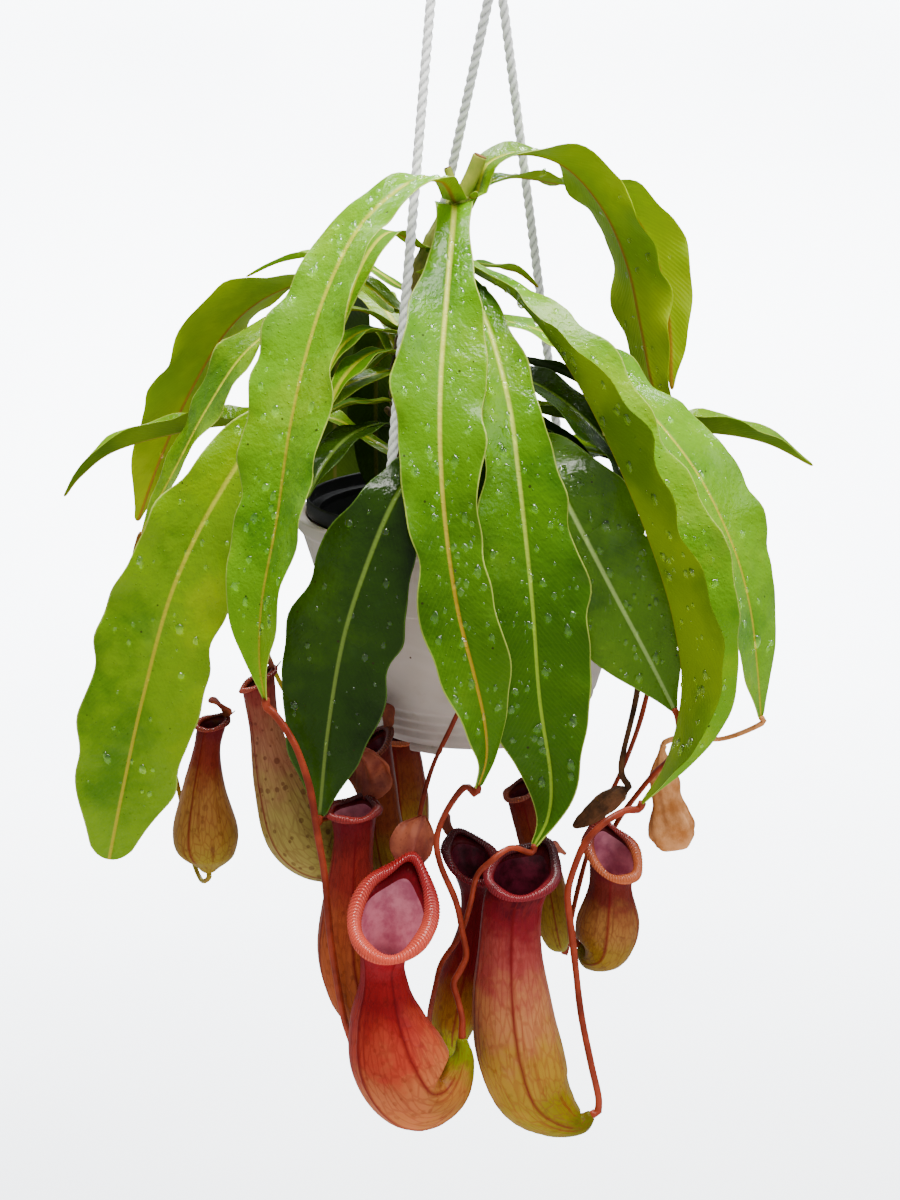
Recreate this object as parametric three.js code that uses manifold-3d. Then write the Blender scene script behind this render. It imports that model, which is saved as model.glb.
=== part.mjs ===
// Hanging pitcher plant in a pot on three ropes, in millimetres, +Z up.
// The origin is where the hook hangs. The plant is laid out from the centre of the pot's rim,
// with -Y towards the viewer and +X to the viewer's right.

import * as THREE from 'three';
import { mergeVertices } from 'three/addons/utils/BufferGeometryUtils.js';
import Module from 'manifold-3d';

const wasm = await Module();
wasm.setup();

// Driving dimensions
const HOOK_TO_RIM = 315;
const GAP = 0.35;
const LEAF_THICKNESS = 0.9;

const POT = { rim: 90, wall: 1.8, mouth: 87, foot: 55.5, top: -8.4, bottom: -118 };
const NURSERY_POT = { rim: 85, band: 8, mouth: 80, foot: 51, wall: 1.4, bottom: -112 };
const MEDIUM_TOP = -22;
const ROPE = { diameter: 5, sides: 8, steps: 16, holeRadius: 92.8, holeAngles: [-118, 58, 122] };
const EYE = { radius: 20, angles: [180, 60, -60], height: 261, thickness: 5, hole: 4 };
const KNOT = { radius: 5, squash: 0.8 };
const HOOK = { radius: 15, centre: 303, wire: 3 };
const STEM = { radius: 5.2, sides: 10 };
const STEM_LINE = [[-28, 0, -46], [-30, 0, -22], [-38, 0, 48], [-33, 0, 87], [-26, 0, 115], [-7, 0, 150]];
const PITCHER = { sides: 10, rings: 10, wall: 1.1, wingAt: 1, depth: 0.82, swell: 1.04 };
const TENDRIL_SIDES = 6;

const COLOURS = {
  leaf: 0x5f9a16,
  shadedLeaf: 0x2f6a12,
  stem: 0x7a6a35,
  tendril: 0x9a3a22,
  pitcher: 0xa23a2e,
  dryPitcher: 0xb98858,
  pot: 0xe4e0e2,
  nurseryPot: 0x1c1c1e,
  medium: 0x3b2f26,
  rope: 0xe9e9ea,
  hook: 0xf0f0f0
};

const RAD = Math.PI / 180;
const UP = new THREE.Vector3(0, 0, 1);

function vector(p) {
  return new THREE.Vector3(p[0], p[1], p[2]);
}

// A smooth value between equally spaced ones, with s from 0 to 1
function along(values, s) {
  const spans = values.length - 1;
  const at = Math.min(s * spans, spans - 1e-9);
  const i = Math.floor(at);
  const u = at - i;
  const v = (k) => values[Math.max(0, Math.min(spans, k))];
  const [a, b, c, d] = [v(i - 1), v(i), v(i + 1), v(i + 2)];
  return b + 0.5 * u * (c - a + u * (2 * a - 5 * b + 4 * c - d + u * (3 * (b - c) + d - a)));
}

function curveThrough(points) {
  return new THREE.CatmullRomCurve3(points.map((p) => (p.isVector3 ? p : vector(p))), false, 'catmullrom', 0.5);
}

// Geometry and solids

function meshGeometry(positions, index) {
  const geometry = new THREE.BufferGeometry();
  geometry.setAttribute('position', new THREE.Float32BufferAttribute(positions, 3));
  geometry.setIndex(index);
  return geometry;
}

function volumeOf(positions, index) {
  const p = (i) => new THREE.Vector3().fromArray(positions, 3 * i);
  let sum = 0;
  for (let t = 0; t < index.length; t += 3) {
    sum += p(index[t]).dot(p(index[t + 1]).cross(p(index[t + 2])));
  }
  return sum / 6;
}

// Rings of equal length, closed by a fan at each end, turned so that the faces point out
function loft(rings) {
  const sides = rings[0].length;
  const positions = rings.flatMap((ring) => ring.flatMap((p) => [p.x, p.y, p.z]));
  const index = [];
  for (let r = 0; r < rings.length - 1; r++) {
    for (let k = 0; k < sides; k++) {
      const a = r * sides + k;
      const b = r * sides + ((k + 1) % sides);
      index.push(a, b, b + sides, a, b + sides, a + sides);
    }
  }
  const ends = [[0, 1], [rings.length - 1, -1]];
  for (const [ring, turn] of ends) {
    const centre = new THREE.Vector3();
    rings[ring].forEach((p) => centre.addScaledVector(p, 1 / sides));
    const hub = positions.length / 3;
    positions.push(centre.x, centre.y, centre.z);
    for (let k = 0; k < sides; k++) {
      const a = ring * sides + k;
      const b = ring * sides + ((k + 1) % sides);
      index.push(...(turn > 0 ? [hub, b, a] : [hub, a, b]));
    }
  }
  if (volumeOf(positions, index) < 0) {
    for (let t = 0; t < index.length; t += 3) {
      [index[t + 1], index[t + 2]] = [index[t + 2], index[t + 1]];
    }
  }
  return meshGeometry(positions, index);
}

function solid(geometry) {
  const plain = geometry.clone();
  plain.deleteAttribute('normal');
  plain.deleteAttribute('uv');
  const merged = mergeVertices(plain, 1e-4);
  const mesh = new wasm.Mesh({
    numProp: 3,
    vertProperties: new Float32Array(merged.attributes.position.array),
    triVerts: new Uint32Array(merged.index.array)
  });
  mesh.merge();
  return new wasm.Manifold(mesh);
}

function geometryOf(manifold) {
  const mesh = manifold.getMesh();
  return meshGeometry(Array.from(mesh.vertProperties), Array.from(mesh.triVerts));
}

function joined(geometries) {
  return geometryOf(geometries.map(solid).reduce((all, next) => all.add(next)));
}

function moved(geometry, x, y, z) {
  return geometry.translate(x, y, z);
}

// A lathe profile is in radius and height, from the bottom of the axis up round the outside
function turned(profile, sides) {
  const points = profile.map(([radius, height]) => new THREE.Vector2(radius, height));
  return new THREE.LatheGeometry(points, sides).rotateX(Math.PI / 2);
}

function tube(points, radius, sides, steps) {
  const section = new THREE.Shape();
  for (let k = 0; k < sides; k++) {
    const angle = (2 * Math.PI * k) / sides;
    section[k ? 'lineTo' : 'moveTo'](radius * Math.cos(angle), radius * Math.sin(angle));
  }
  const extrudePath = curveThrough(points);
  return new THREE.ExtrudeGeometry(section, { steps, extrudePath, bevelEnabled: false });
}

// Leaf blades and lids

const STRAP = [0.34, 0.42, 0.66, 0.88, 1, 0.97, 0.82, 0.55, 0.06];
const SMALL_STRAP = [0.5, 0.6, 0.85, 1, 0.8, 0.45, 0.08];
const OVATE = [0.35, 0.8, 1, 0.85, 0.2];

// The frame on a blade's spine: along it, to its side and out of its upper face
function bladeFrame(curve, s, face, roll) {
  const tangent = curve.getTangentAt(s).normalize();
  const outward = new THREE.Vector3(Math.cos(face * RAD), Math.sin(face * RAD), 0);
  const side = outward.cross(UP);
  side.addScaledVector(tangent, -side.dot(tangent)).normalize();
  side.applyAxisAngle(tangent, roll * RAD);
  return { tangent, side, upper: side.clone().cross(tangent) };
}

// A blade is a waved strip round its spine. Both faces are split into triangles alike.
function blade(spec) {
  const { points, half, face, outline = STRAP, fold = [0, 12, 8], roll = [0], wave = 0, waves = 3 } = spec;
  const { phase = 0, panels = 4, rows = 9, thickness = LEAF_THICKNESS } = spec;
  const curve = curveThrough(points);
  const upperRows = [];
  const lowerRows = [];
  for (let i = 0; i <= rows; i++) {
    const s = i / rows;
    const { side, upper } = bladeFrame(curve, s, face, along(roll, s));
    const width = half * along(outline, s);
    const tilt = along(fold, s) * RAD;
    const centre = curve.getPointAt(s);
    const at = (v, lift) => {
      const edge = v * v * wave * Math.sin(Math.PI * s);
      const ripple = edge * Math.sin(2 * Math.PI * waves * s + phase + (v < 0 ? 2 : 0));
      const rise = Math.abs(v) * width * Math.sin(tilt) + ripple + lift;
      return centre.clone().addScaledVector(side, v * width * Math.cos(tilt)).addScaledVector(upper, rise);
    };
    const across = Array.from({ length: panels + 1 }, (_, j) => (2 * j) / panels - 1);
    upperRows.push(across.map((v) => at(v, thickness / 2)));
    lowerRows.push(across.map((v) => at(v, -thickness / 2)));
  }
  return sheet(upperRows, lowerRows);
}

function sheet(upperRows, lowerRows) {
  const rows = upperRows.length;
  const columns = upperRows[0].length;
  const positions = [...upperRows, ...lowerRows].flatMap((row) => row.flatMap((p) => [p.x, p.y, p.z]));
  const under = rows * columns;
  const index = [];
  const quad = (a, b, c, d) => index.push(a, b, c, a, c, d);
  for (let i = 0; i < rows - 1; i++) {
    for (let j = 0; j < columns - 1; j++) {
      const a = i * columns + j;
      const [b, c, d] = [a + 1, a + 1 + columns, a + columns];
      index.push(a, b, c, a, c, d);
      index.push(a + under, c + under, b + under, a + under, d + under, c + under);
    }
    const left = i * columns;
    const right = left + columns - 1;
    quad(left, left + columns, left + columns + under, left + under);
    quad(right, right + under, right + columns + under, right + columns);
  }
  const last = (rows - 1) * columns;
  for (let j = 0; j < columns - 1; j++) {
    quad(j, j + under, j + 1 + under, j + 1);
    quad(last + j, last + j + 1, last + j + 1 + under, last + j + under);
  }
  return meshGeometry(positions, index);
}

// Where a leaf leaves the stem at a height, heading for its next point
const stemCurve = curveThrough(STEM_LINE);

function stemAt(height) {
  let low = 0;
  let high = 1;
  for (let step = 0; step < 30; step++) {
    const middle = (low + high) / 2;
    if (stemCurve.getPointAt(middle).z < height) {
      low = middle;
    } else {
      high = middle;
    }
  }
  return stemCurve.getPointAt(low);
}

function leafPoints(spec) {
  const centre = stemAt(spec.from);
  const next = vector(spec.points[0]);
  const heading = next.clone().sub(centre).setZ(0).normalize();
  const seat = centre.clone().addScaledVector(heading, STEM.radius + GAP + 0.3);
  const lead = seat.clone().addScaledVector(heading, 3).setZ(seat.z + 0.8);
  return [seat, lead, ...spec.points.map(vector)];
}

const LEAVES = [
  {
    name: 'leaf_front_centre', from: 143, face: -88, half: 22, wave: 3.5, waves: 3.5, phase: 1,
    points: [[-11, -24, 139], [-14, -54, 108], [-17, -82, 69], [-17, -99, 35], [-14, -109, 0],
      [-9, -116, -32], [-2, -118, -60], [3, -116, -84], [4, -112, -103], [0, -109, -119]],
    outline: [0.42, 0.42, 0.8, 1, 0.86, 0.7, 0.82, 0.6, 0.14], fold: [10, 14, 6, 10], roll: [0, 0, 5, -50]
  },
  {
    name: 'leaf_front_left', from: 146, face: -104, half: 23, wave: 3, waves: 2.5, phase: 0,
    points: [[-14, -26, 154], [-19, -43, 158], [-33, -55, 156], [-53, -66, 139], [-67, -79, 114], [-77, -92, 85],
      [-85, -104, 50], [-91, -112, 10], [-98, -116, -26], [-100, -114, -55], [-98, -110, -76]],
    outline: [0.26, 0.3, 0.55, 0.8, 0.95, 1, 0.97, 0.72, 0.06], fold: [8, 16, 18, 20], roll: [0, 12, 22, 34]
  },
  {
    name: 'leaf_low_left', from: 62, face: -84, half: 28, wave: 3, waves: 2, phase: 2,
    points: [[-66, -30, 58], [-99, -48, 42], [-123, -60, 11], [-145, -67, -33], [-161, -70, -87],
      [-173, -66, -135], [-182, -60, -173]],
    outline: [0.25, 0.3, 0.45, 0.7, 0.9, 1, 0.97, 0.82, 0.3], fold: [10, 8, 6, 4], roll: [0]
  },
  {
    name: 'leaf_dark_left', from: 26, face: -96, half: 26, wave: 2.5, waves: 2, phase: 4, dark: true,
    points: [[-20, -42, 34], [-27, -76, 28], [-38, -93, 16], [-50, -99, -11], [-62, -101, -48],
      [-70, -99, -93], [-75, -95, -138]],
    outline: [0.2, 0.22, 0.3, 0.55, 0.85, 1, 0.95, 0.66, 0.12], fold: [10, 8, 4, 4], roll: [0]
  },
  {
    name: 'leaf_front_right', from: 110, face: -82, half: 26, wave: 2.5, waves: 2, phase: 3,
    points: [[-12, -22, 113], [3, -48, 95], [14, -77, 60], [19, -91, 25], [25, -101, -29],
      [29, -101, -77], [35, -97, -117], [34, -96, -138], [27, -101, -151]],
    outline: [0.24, 0.28, 0.42, 0.6, 0.84, 1, 0.92, 0.6, 0.08], fold: [10, 14, 8, 6], roll: [0, 0, 0, 0, 50]
  },
  {
    name: 'leaf_dark_right', from: 30, face: -86, half: 29, wave: 2.5, waves: 2, phase: 1, dark: true,
    points: [[-4, -34, 36], [20, -60, 31], [36, -74, 20], [50, -83, -4], [67, -86, -36],
      [82, -87, -64], [94, -86, -88]],
    outline: [0.2, 0.24, 0.42, 0.7, 0.92, 1, 0.96, 0.62, 0.06], fold: [6, 4, 0, 0], roll: [0]
  },
  {
    name: 'leaf_folded_right', from: 121, face: -25, half: 31, wave: 3.5, waves: 3, phase: 0,
    points: [[1, -28, 113], [18, -48, 104], [35, -64, 85], [50, -76, 62], [66, -86, 30],
      [81, -92, -6], [92, -94, -41], [97, -92, -76], [91, -90, -111], [79, -88, -134]],
    outline: [0.24, 0.3, 0.5, 0.75, 0.95, 1, 1.02, 0.9, 0.08], fold: [10, 40, 60, 56, 22], roll: [0]
  },
  {
    name: 'leaf_far_right', from: 86, face: -38, half: 26, wave: 3, waves: 2.5, phase: 2,
    points: [[8, -5, 88], [40, -20, 80], [76, -38, 54], [104, -46, 22], [123, -50, -14],
      [133, -50, -46], [138, -48, -78], [141, -46, -104]],
    outline: [0.24, 0.32, 0.56, 0.8, 0.98, 1, 0.94, 0.72, 0.1], fold: [10, 14, 10, 6], roll: [0]
  },
  {
    name: 'leaf_arched_right', from: 148, face: 38, half: 21, wave: 3.5, waves: 3, phase: 2,
    points: [[6, 3, 163], [24, 7, 168], [45, 12, 161], [64, 20, 140], [77, 27, 112],
      [85, 29, 79], [92, 28, 48], [103, 25, 24]],
    outline: [0.4, 0.6, 0.8, 0.95, 1, 0.97, 0.82, 0.55, 0.06], fold: [10, 14, 10, 8], roll: [0]
  },
  {
    name: 'leaf_arched_back', from: 140, face: 62, half: 17, wave: 2.5, waves: 2, phase: 5,
    points: [[0, 12, 150], [16, 18, 156], [28, 28, 155], [42, 41, 152], [68, 51, 148],
      [90, 55, 122], [101, 58, 84], [104, 59, 44]],
    outline: [0.3, 0.3, 0.34, 0.62, 0.95, 1, 0.86, 0.55, 0.06], fold: [8, 12, 8, 4], roll: [0]
  },
  {
    name: 'leaf_small_right', from: 58, face: -12, half: 14, wave: 1, waves: 2, phase: 0, rows: 8,
    points: [[-2, -4, 52], [40, -12, 42], [80, -12, 34], [116, -8, 33], [145, -3, 27], [170, 2, 14]],
    outline: [0.3, 0.4, 0.5, 0.7, 0.95, 1, 0.9, 0.6, 0.08], fold: [10, 40, 50, 40]
  },
  {
    name: 'leaf_broad_left', from: 92, face: 140, half: 27, wave: 2.5, waves: 2, phase: 1,
    points: [[-62, 8, 107], [-95, 18, 102], [-123, 26, 83], [-146, 31, 48], [-163, 31, 12], [-175, 28, -20]],
    outline: [0.28, 0.34, 0.6, 0.9, 1, 0.98, 0.85, 0.55, 0.08], fold: [8, 12, 8, 6]
  },
  {
    name: 'leaf_small_left', from: 70, face: 180, half: 13, wave: 1.2, waves: 2, phase: 3, rows: 8,
    points: [[-73, -3, 46], [-108, -2, 38], [-144, -2, 33], [-180, -2, 23], [-198, -2, 10], [-207, -2, -1]],
    outline: [0.3, 0.34, 0.45, 0.6, 0.85, 1, 0.9, 0.6, 0.08], fold: [10, 36, 42, 34]
  },
  {
    name: 'leaf_narrow_left', from: 84, face: -150, half: 16, wave: 2.5, waves: 2, phase: 2,
    points: [[-58, -8, 94], [-88, -16, 90], [-112, -22, 74], [-131, -26, 47], [-147, -28, 18], [-165, -28, -15]],
    fold: [8, 12, 10, 8]
  },
  {
    name: 'leaf_top_left', from: 103, face: 150, half: 9, wave: 1, phase: 1, rows: 6, panels: 2,
    points: [[-52, 8, 112], [-73, 14, 118], [-96, 22, 115], [-116, 30, 106]], outline: SMALL_STRAP
  },
  {
    name: 'leaf_inner_left_1', from: 124, face: -130, half: 10, wave: 1, phase: 2, rows: 6, panels: 2,
    points: [[-38, -10, 131], [-47, -19, 128], [-57, -28, 112], [-65, -34, 86]], outline: SMALL_STRAP
  },
  {
    name: 'leaf_inner_left_2', from: 82, face: -140, half: 9, wave: 1, phase: 3, rows: 6, panels: 2,
    points: [[-47, -10, 84], [-57, -19, 83], [-66, -27, 76], [-73, -33, 63]], outline: SMALL_STRAP
  },
  {
    name: 'leaf_inner_left_3', from: 72, face: -120, half: 8, wave: 1, phase: 4, rows: 6, panels: 2,
    points: [[-47, -14, 74], [-56, -26, 71], [-65, -36, 62], [-71, -44, 50]], outline: SMALL_STRAP
  },
  {
    name: 'leaf_inner_left_4', from: 36, face: -125, half: 11, wave: 1, phase: 1, rows: 6, panels: 2,
    points: [[-50, -19, 38], [-62, -38, 35], [-72, -56, 26], [-80, -70, 12]], outline: SMALL_STRAP, dark: true
  },
  {
    name: 'leaf_inner_left_5', from: 48, face: -160, half: 7, wave: 0.8, phase: 2, rows: 6, panels: 2,
    points: [[-50, -8, 48], [-61, -18, 49], [-74, -28, 44], [-84, -36, 34]], outline: SMALL_STRAP
  },
  {
    name: 'leaf_inner_right_1', from: 66, face: -42, half: 16, wave: 1.5, phase: 0, rows: 8, dark: true,
    points: [[-16, -8, 65], [10, -18, 65], [40, -29, 53], [68, -42, 26], [87, -52, -14]]
  },
  {
    name: 'leaf_inner_right_2', from: 48, face: -30, half: 8, wave: 1, phase: 3, rows: 8, panels: 2, dark: true,
    points: [[-13, -12, 48], [14, -26, 45], [41, -43, 33], [63, -60, 8], [76, -68, -24]],
    fold: [10, 30, 30]
  },
  {
    name: 'leaf_inner_right_3', from: 112, face: 50, half: 8, wave: 1, phase: 2, rows: 6, panels: 2,
    points: [[-10, 7, 113], [6, 14, 113], [20, 20, 110], [32, 25, 101]], outline: SMALL_STRAP
  },
  {
    name: 'leaf_inner_right_4', from: 70, face: 30, half: 13, wave: 1.5, phase: 1, rows: 8, dark: true,
    points: [[-18, 4, 74], [16, 9, 68], [46, 15, 58], [74, 22, 38], [94, 28, 2]]
  },
  {
    name: 'leaf_behind_centre', from: 34, face: -86, half: 12, wave: 1, phase: 0, rows: 8, panels: 2, dark: true,
    points: [[-24, -16, 38], [-18, -36, 40], [-8, -66, 34], [-4, -82, 20], [-1, -92, -2], [4, -91, -36]]
  }
];

// Leaves at the back, that the viewer in front doesn't see: each arches out and hangs down
const BACK_LEAVES = [
  { from: 80, heading: 112, reach: 112, rise: 16, drop: 150, half: 20, phase: 0, shift: 0 },
  { from: 70, heading: 112, reach: 40, rise: 9, drop: 82, half: 14, phase: 2, shift: 0 },
  { from: 24, heading: 54, reach: 117, rise: 7, drop: 116, half: 17, phase: 4, shift: 0 },
  { from: 44, heading: 72, reach: 104, rise: 8, drop: 130, half: 17, phase: 1, shift: 0 },
  { from: 20, heading: 146, reach: 104, rise: 14, drop: 104, half: 17, phase: 3, shift: 0 },
  { from: 12, heading: -6, reach: 142, rise: 14, drop: 84, half: 17, phase: 5, shift: 0 }
];

function backLeaf(spec, number) {
  const { from, heading, reach, rise, drop, half, phase, shift } = spec;
  const direction = new THREE.Vector3(Math.cos(heading * RAD), Math.sin(heading * RAD), 0);
  const centre = stemAt(from);
  const reaches = [0.12, 0.4, 0.7, 0.92, 1, 0.97];
  const heights = [0.35, 1, 0.6, -0.1, -0.5, -1];
  const points = reaches.map((share, i) => {
    const height = heights[i] > 0 ? heights[i] * rise : heights[i] * drop;
    const p = centre.clone().addScaledVector(direction, 8 + share * (reach - 8));
    return [p.x + shift * Math.min(1, 2 * share), p.y, from + height];
  });
  return { name: `leaf_back_${number}`, from, face: heading, half, wave: 3, waves: 2.5, phase, points };
}

// Pitchers: each line holds the middle and the outer radius, from the mouth to the base

const PITCHERS = [
  {
    name: 'pitcher_front_left', front: -100, tilt: 0.9, lip: 4, wing: 0.8,
    line: [[-39, -127, -174, 16.5], [-44, -126, -196, 10.5], [-44, -125, -211, 11.5], [-43, -125, -228, 17],
      [-38, -125, -247, 22], [-28, -125, -263, 21], [-15, -123, -264, 13], [-7, -121, -252, 6],
      [-7, -119, -241, 2.5]],
    lid: { length: 28, half: 12, pitch: 112, curl: -8, fold: 35, roll: 20 }
  },
  {
    name: 'pitcher_front_right', front: -125, tilt: 0.58, lip: 3, wing: 0.8,
    line: [[22, -100, -164, 14.5], [17, -100, -181, 13.8], [16, -100, -204, 15], [17, -100, -230, 18.5],
      [21, -100, -256, 20.5], [28, -100, -277, 18.5], [40, -100, -290, 12], [51, -100, -295, 6],
      [57, -100, -291, 2.5]],
    lid: { length: 20, half: 8, pitch: 150, curl: -40, fold: 30, roll: 0 }
  },
  {
    name: 'pitcher_centre_left', front: -118, tilt: 0.12, lip: 2.4, wing: 0.6,
    line: [[-59, -90, -136, 11], [-59, -90, -149, 9.3], [-60, -90, -164, 10], [-61, -89, -183, 13],
      [-61, -88, -207, 16], [-58, -88, -228, 15], [-55, -88, -245, 9.5], [-57, -91, -254, 4],
      [-59, -94, -256, 2.5]],
    lid: { length: 28, half: 14, pitch: 86, curl: 8, fold: 26, roll: 0 }
  },
  {
    name: 'pitcher_small_left', front: -150, tilt: 0.45, lip: 1.6, wing: 0.5,
    line: [[-131, -40, -108, 6.8], [-134, -40, -122, 6.4], [-136, -40, -143, 10.5], [-136, -40, -165, 16],
      [-135, -40, -178, 13], [-135, -41, -187, 3]],
    lid: { length: 15, half: 7, pitch: 60, curl: 25, fold: 20, roll: 0 }
  },
  {
    name: 'pitcher_large_left', front: -170, tilt: 0.5, lip: 1.8, wing: 0.6,
    line: [[-106, -60, -80, 8], [-103, -60, -105, 7.6], [-96, -61, -133, 13], [-86, -62, -156, 18],
      [-73, -63, -166, 16.5], [-62, -63, -163, 10], [-56, -63, -157, 3]],
    lid: { length: 17, half: 8, pitch: 70, curl: 20, fold: 20, roll: 0 },
    tail: {
      leaf: 'leaf_dark_left', radius: 1.6, steps: 9,
      points: [[-58, -67, -149], [-68, -72, -146], [-76, -83, -144]]
    }
  },
  {
    name: 'pitcher_behind_left', front: -150, tilt: 0.6, lip: 2.2, wing: 0.6,
    line: [[-51, -57, -115, 9.5], [-47, -57, -135, 7.8], [-45, -57, -159, 9.5], [-39, -56, -180, 13.5],
      [-35, -55, -196, 11.5], [-32, -53, -208, 3]],
    lid: { length: 16, half: 8, pitch: 95, curl: 10, fold: 20, roll: 0 }
  },
  {
    name: 'pitcher_behind_pot', front: -60, tilt: 0.4, lip: 2, wing: 0.6,
    line: [[-41, 6, -128, 10.5], [-39, 4, -146, 12], [-37, 2, -167, 13], [-35, 1, -187, 10],
      [-34, 1, -199, 3]],
    lid: { length: 11, half: 8, pitch: 12, curl: 6, fold: 10, roll: 0 }
  },
  {
    name: 'pitcher_centre', front: -55, tilt: 0.8, lip: 2.6, wing: 0.6,
    line: [[-2, -66, -170, 11.5], [0, -66, -188, 7.4], [-1, -66, -208, 8], [-7, -66, -235, 11.5],
      [-11, -66, -256, 11], [-12, -68, -269, 6.5], [-12, -70, -275, 2.5]],
    lid: { length: 14, half: 4, pitch: 150, curl: 30, fold: 30, roll: 0 }
  },
  {
    name: 'pitcher_right', front: -60, tilt: 0.75, lip: 3, wing: 0.6,
    line: [[67, -74, -164, 12], [66, -74, -181, 10.3], [65, -74, -200, 15.2], [63, -74, -213, 13],
      [57, -72, -219, 7], [52, -69, -215, 3]],
    lid: { length: 9, half: 4, pitch: 140, curl: 30, fold: 20, roll: 0 }
  },
  {
    name: 'pitcher_behind_right', front: -120, tilt: 0.3, lip: 1.8, wing: 0.5,
    line: [[22, -48, -141, 7], [27, -48, -162, 6.8], [35, -48, -186, 8.5], [39, -48, -207, 9],
      [42, -47, -221, 6.5], [45, -45, -227, 2.5]],
    lid: { length: 13, half: 4, pitch: 120, curl: 40, fold: 40, roll: 0 }
  }
];

// The frames down a pitcher's middle line, carried along it without twisting
function carriedFrames(curve, front, count) {
  const frames = [];
  let facing = new THREE.Vector3(Math.cos(front * RAD), Math.sin(front * RAD), 0);
  for (let i = 0; i <= count; i++) {
    const tangent = curve.getTangent(i / count).normalize();
    facing = facing.clone().addScaledVector(tangent, -facing.dot(tangent)).normalize();
    frames.push({ centre: curve.getPoint(i / count), tangent, facing, side: tangent.clone().cross(facing) });
  }
  return frames;
}

const FRAME_COUNT = 60;

function pitcherRing(frame, radius, lean, lift, wing) {
  return Array.from({ length: PITCHER.sides }, (_, k) => {
    const angle = (2 * Math.PI * k) / PITCHER.sides;
    const near = k === PITCHER.wingAt || k === PITCHER.sides - PITCHER.wingAt;
    const reach = radius + (near ? wing : 0);
    const rise = lift - lean * radius * Math.cos(angle);
    return frame.centre.clone()
      .addScaledVector(frame.facing, reach * Math.cos(angle))
      .addScaledVector(frame.side, reach * Math.sin(angle))
      .addScaledVector(frame.tangent, -rise);
  });
}

function pitcherCup({ line, front, tilt, lip, wing }) {
  const frames = carriedFrames(curveThrough(line), front, FRAME_COUNT);
  const radii = line.map((p) => p[3] * PITCHER.swell);
  const at = (t) => frames[Math.round(t * FRAME_COUNT)];
  const rings = [];
  for (let i = PITCHER.rings; i > 0; i--) {
    const t = i / PITCHER.rings;
    const near = Math.max(0, 1 - 5 * t);
    const ridge = t < 0.9 ? wing : 0;
    rings.push(pitcherRing(at(t), along(radii, t), tilt * near, 0, ridge));
  }
  const mouth = frames[0];
  rings.push(pitcherRing(mouth, radii[0] + lip, tilt, -0.4 * lip, 0));
  rings.push(pitcherRing(mouth, radii[0] + 0.3 * lip, tilt, 0.6 * lip, 0));
  rings.push(pitcherRing(mouth, radii[0] - 0.6 * lip, tilt, 0, 0));
  for (let i = 1; i / PITCHER.rings < PITCHER.depth; i += i < 3 ? 1 : 2) {
    const t = i / PITCHER.rings;
    const near = Math.max(0, 1 - 5 * t);
    rings.push(pitcherRing(at(t), along(radii, t) - PITCHER.wall, tilt * near, 0, 0));
  }
  return loft(rings);
}

// The lid springs from the highest point of the rim, at the pitcher's back
function pitcherLid({ line, front, tilt, lid }) {
  const mouth = carriedFrames(curveThrough(line), front, FRAME_COUNT)[0];
  const up = mouth.tangent.clone().negate();
  const radius = line[0][3];
  const start = mouth.centre.clone().addScaledVector(mouth.facing, -radius).addScaledVector(up, tilt * radius);
  const points = [];
  const step = lid.length / 3;
  const spot = start.clone();
  for (let i = 0; i < 4; i++) {
    points.push(spot.clone());
    const pitch = (lid.pitch - lid.curl * i) * RAD;
    spot.addScaledVector(mouth.facing, step * Math.cos(pitch)).addScaledVector(up, step * Math.sin(pitch));
  }
  return blade({
    points, half: lid.half, face: front, outline: OVATE, fold: [lid.fold, lid.fold],
    roll: [lid.roll, lid.roll], rows: 4, panels: 2, thickness: 1.2
  });
}

// A tendril that is one piece with its pitcher, from inside the base to its leaf's tip
function tail(line, { leaf, radius, steps, points }, leafLines) {
  const base = endOf(line);
  const tip = endOf(leafLines.get(leaf));
  const route = [
    base.point.clone().addScaledVector(base.tangent, -2),
    base.point.clone().addScaledVector(base.tangent, 1),
    ...points.map(vector),
    tip.point.clone().addScaledVector(tip.tangent, 3),
    tip.point.clone().addScaledVector(tip.tangent, GAP)
  ];
  return tube(route, radius, TENDRIL_SIDES, steps);
}

function pitcher(spec, leafLines) {
  const pieces = [pitcherCup(spec), pitcherLid(spec)];
  if (spec.tail) {
    pieces.push(tail(spec.line, spec.tail, leafLines));
  }
  return joined(pieces);
}

// Withered pitchers, shrunk to a crumpled solid at the end of their tendril
const WITHERED = [
  {
    name: 'pitcher_dried', front: -80,
    line: [[99, -52, -171, 7.5], [98, -52, -160, 11.5], [95, -52, -145, 7], [93, -52, -132, 6.5],
      [92, -52, -120, 2], [93, -51, -116, 1.6]],
    flat: 0.6,
    tail: { leaf: 'leaf_far_right', radius: 1.4, steps: 9, points: [[102, -49, -113], [122, -48, -114]] }
  },
  {
    name: 'pitcher_shrivelled', front: -80,
    line: [[47, -76, -150, 1.5], [53, -76, -146, 4], [61, -76, -139, 5], [69, -76, -133, 4], [73, -76, -130, 1.5]],
    flat: 0.8,
    tail: {
      leaf: 'leaf_inner_right_2', radius: 1.6, steps: 9,
      points: [[70, -76, -118], [77, -74, -82], [78, -71, -50]]
    }
  }
];

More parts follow.
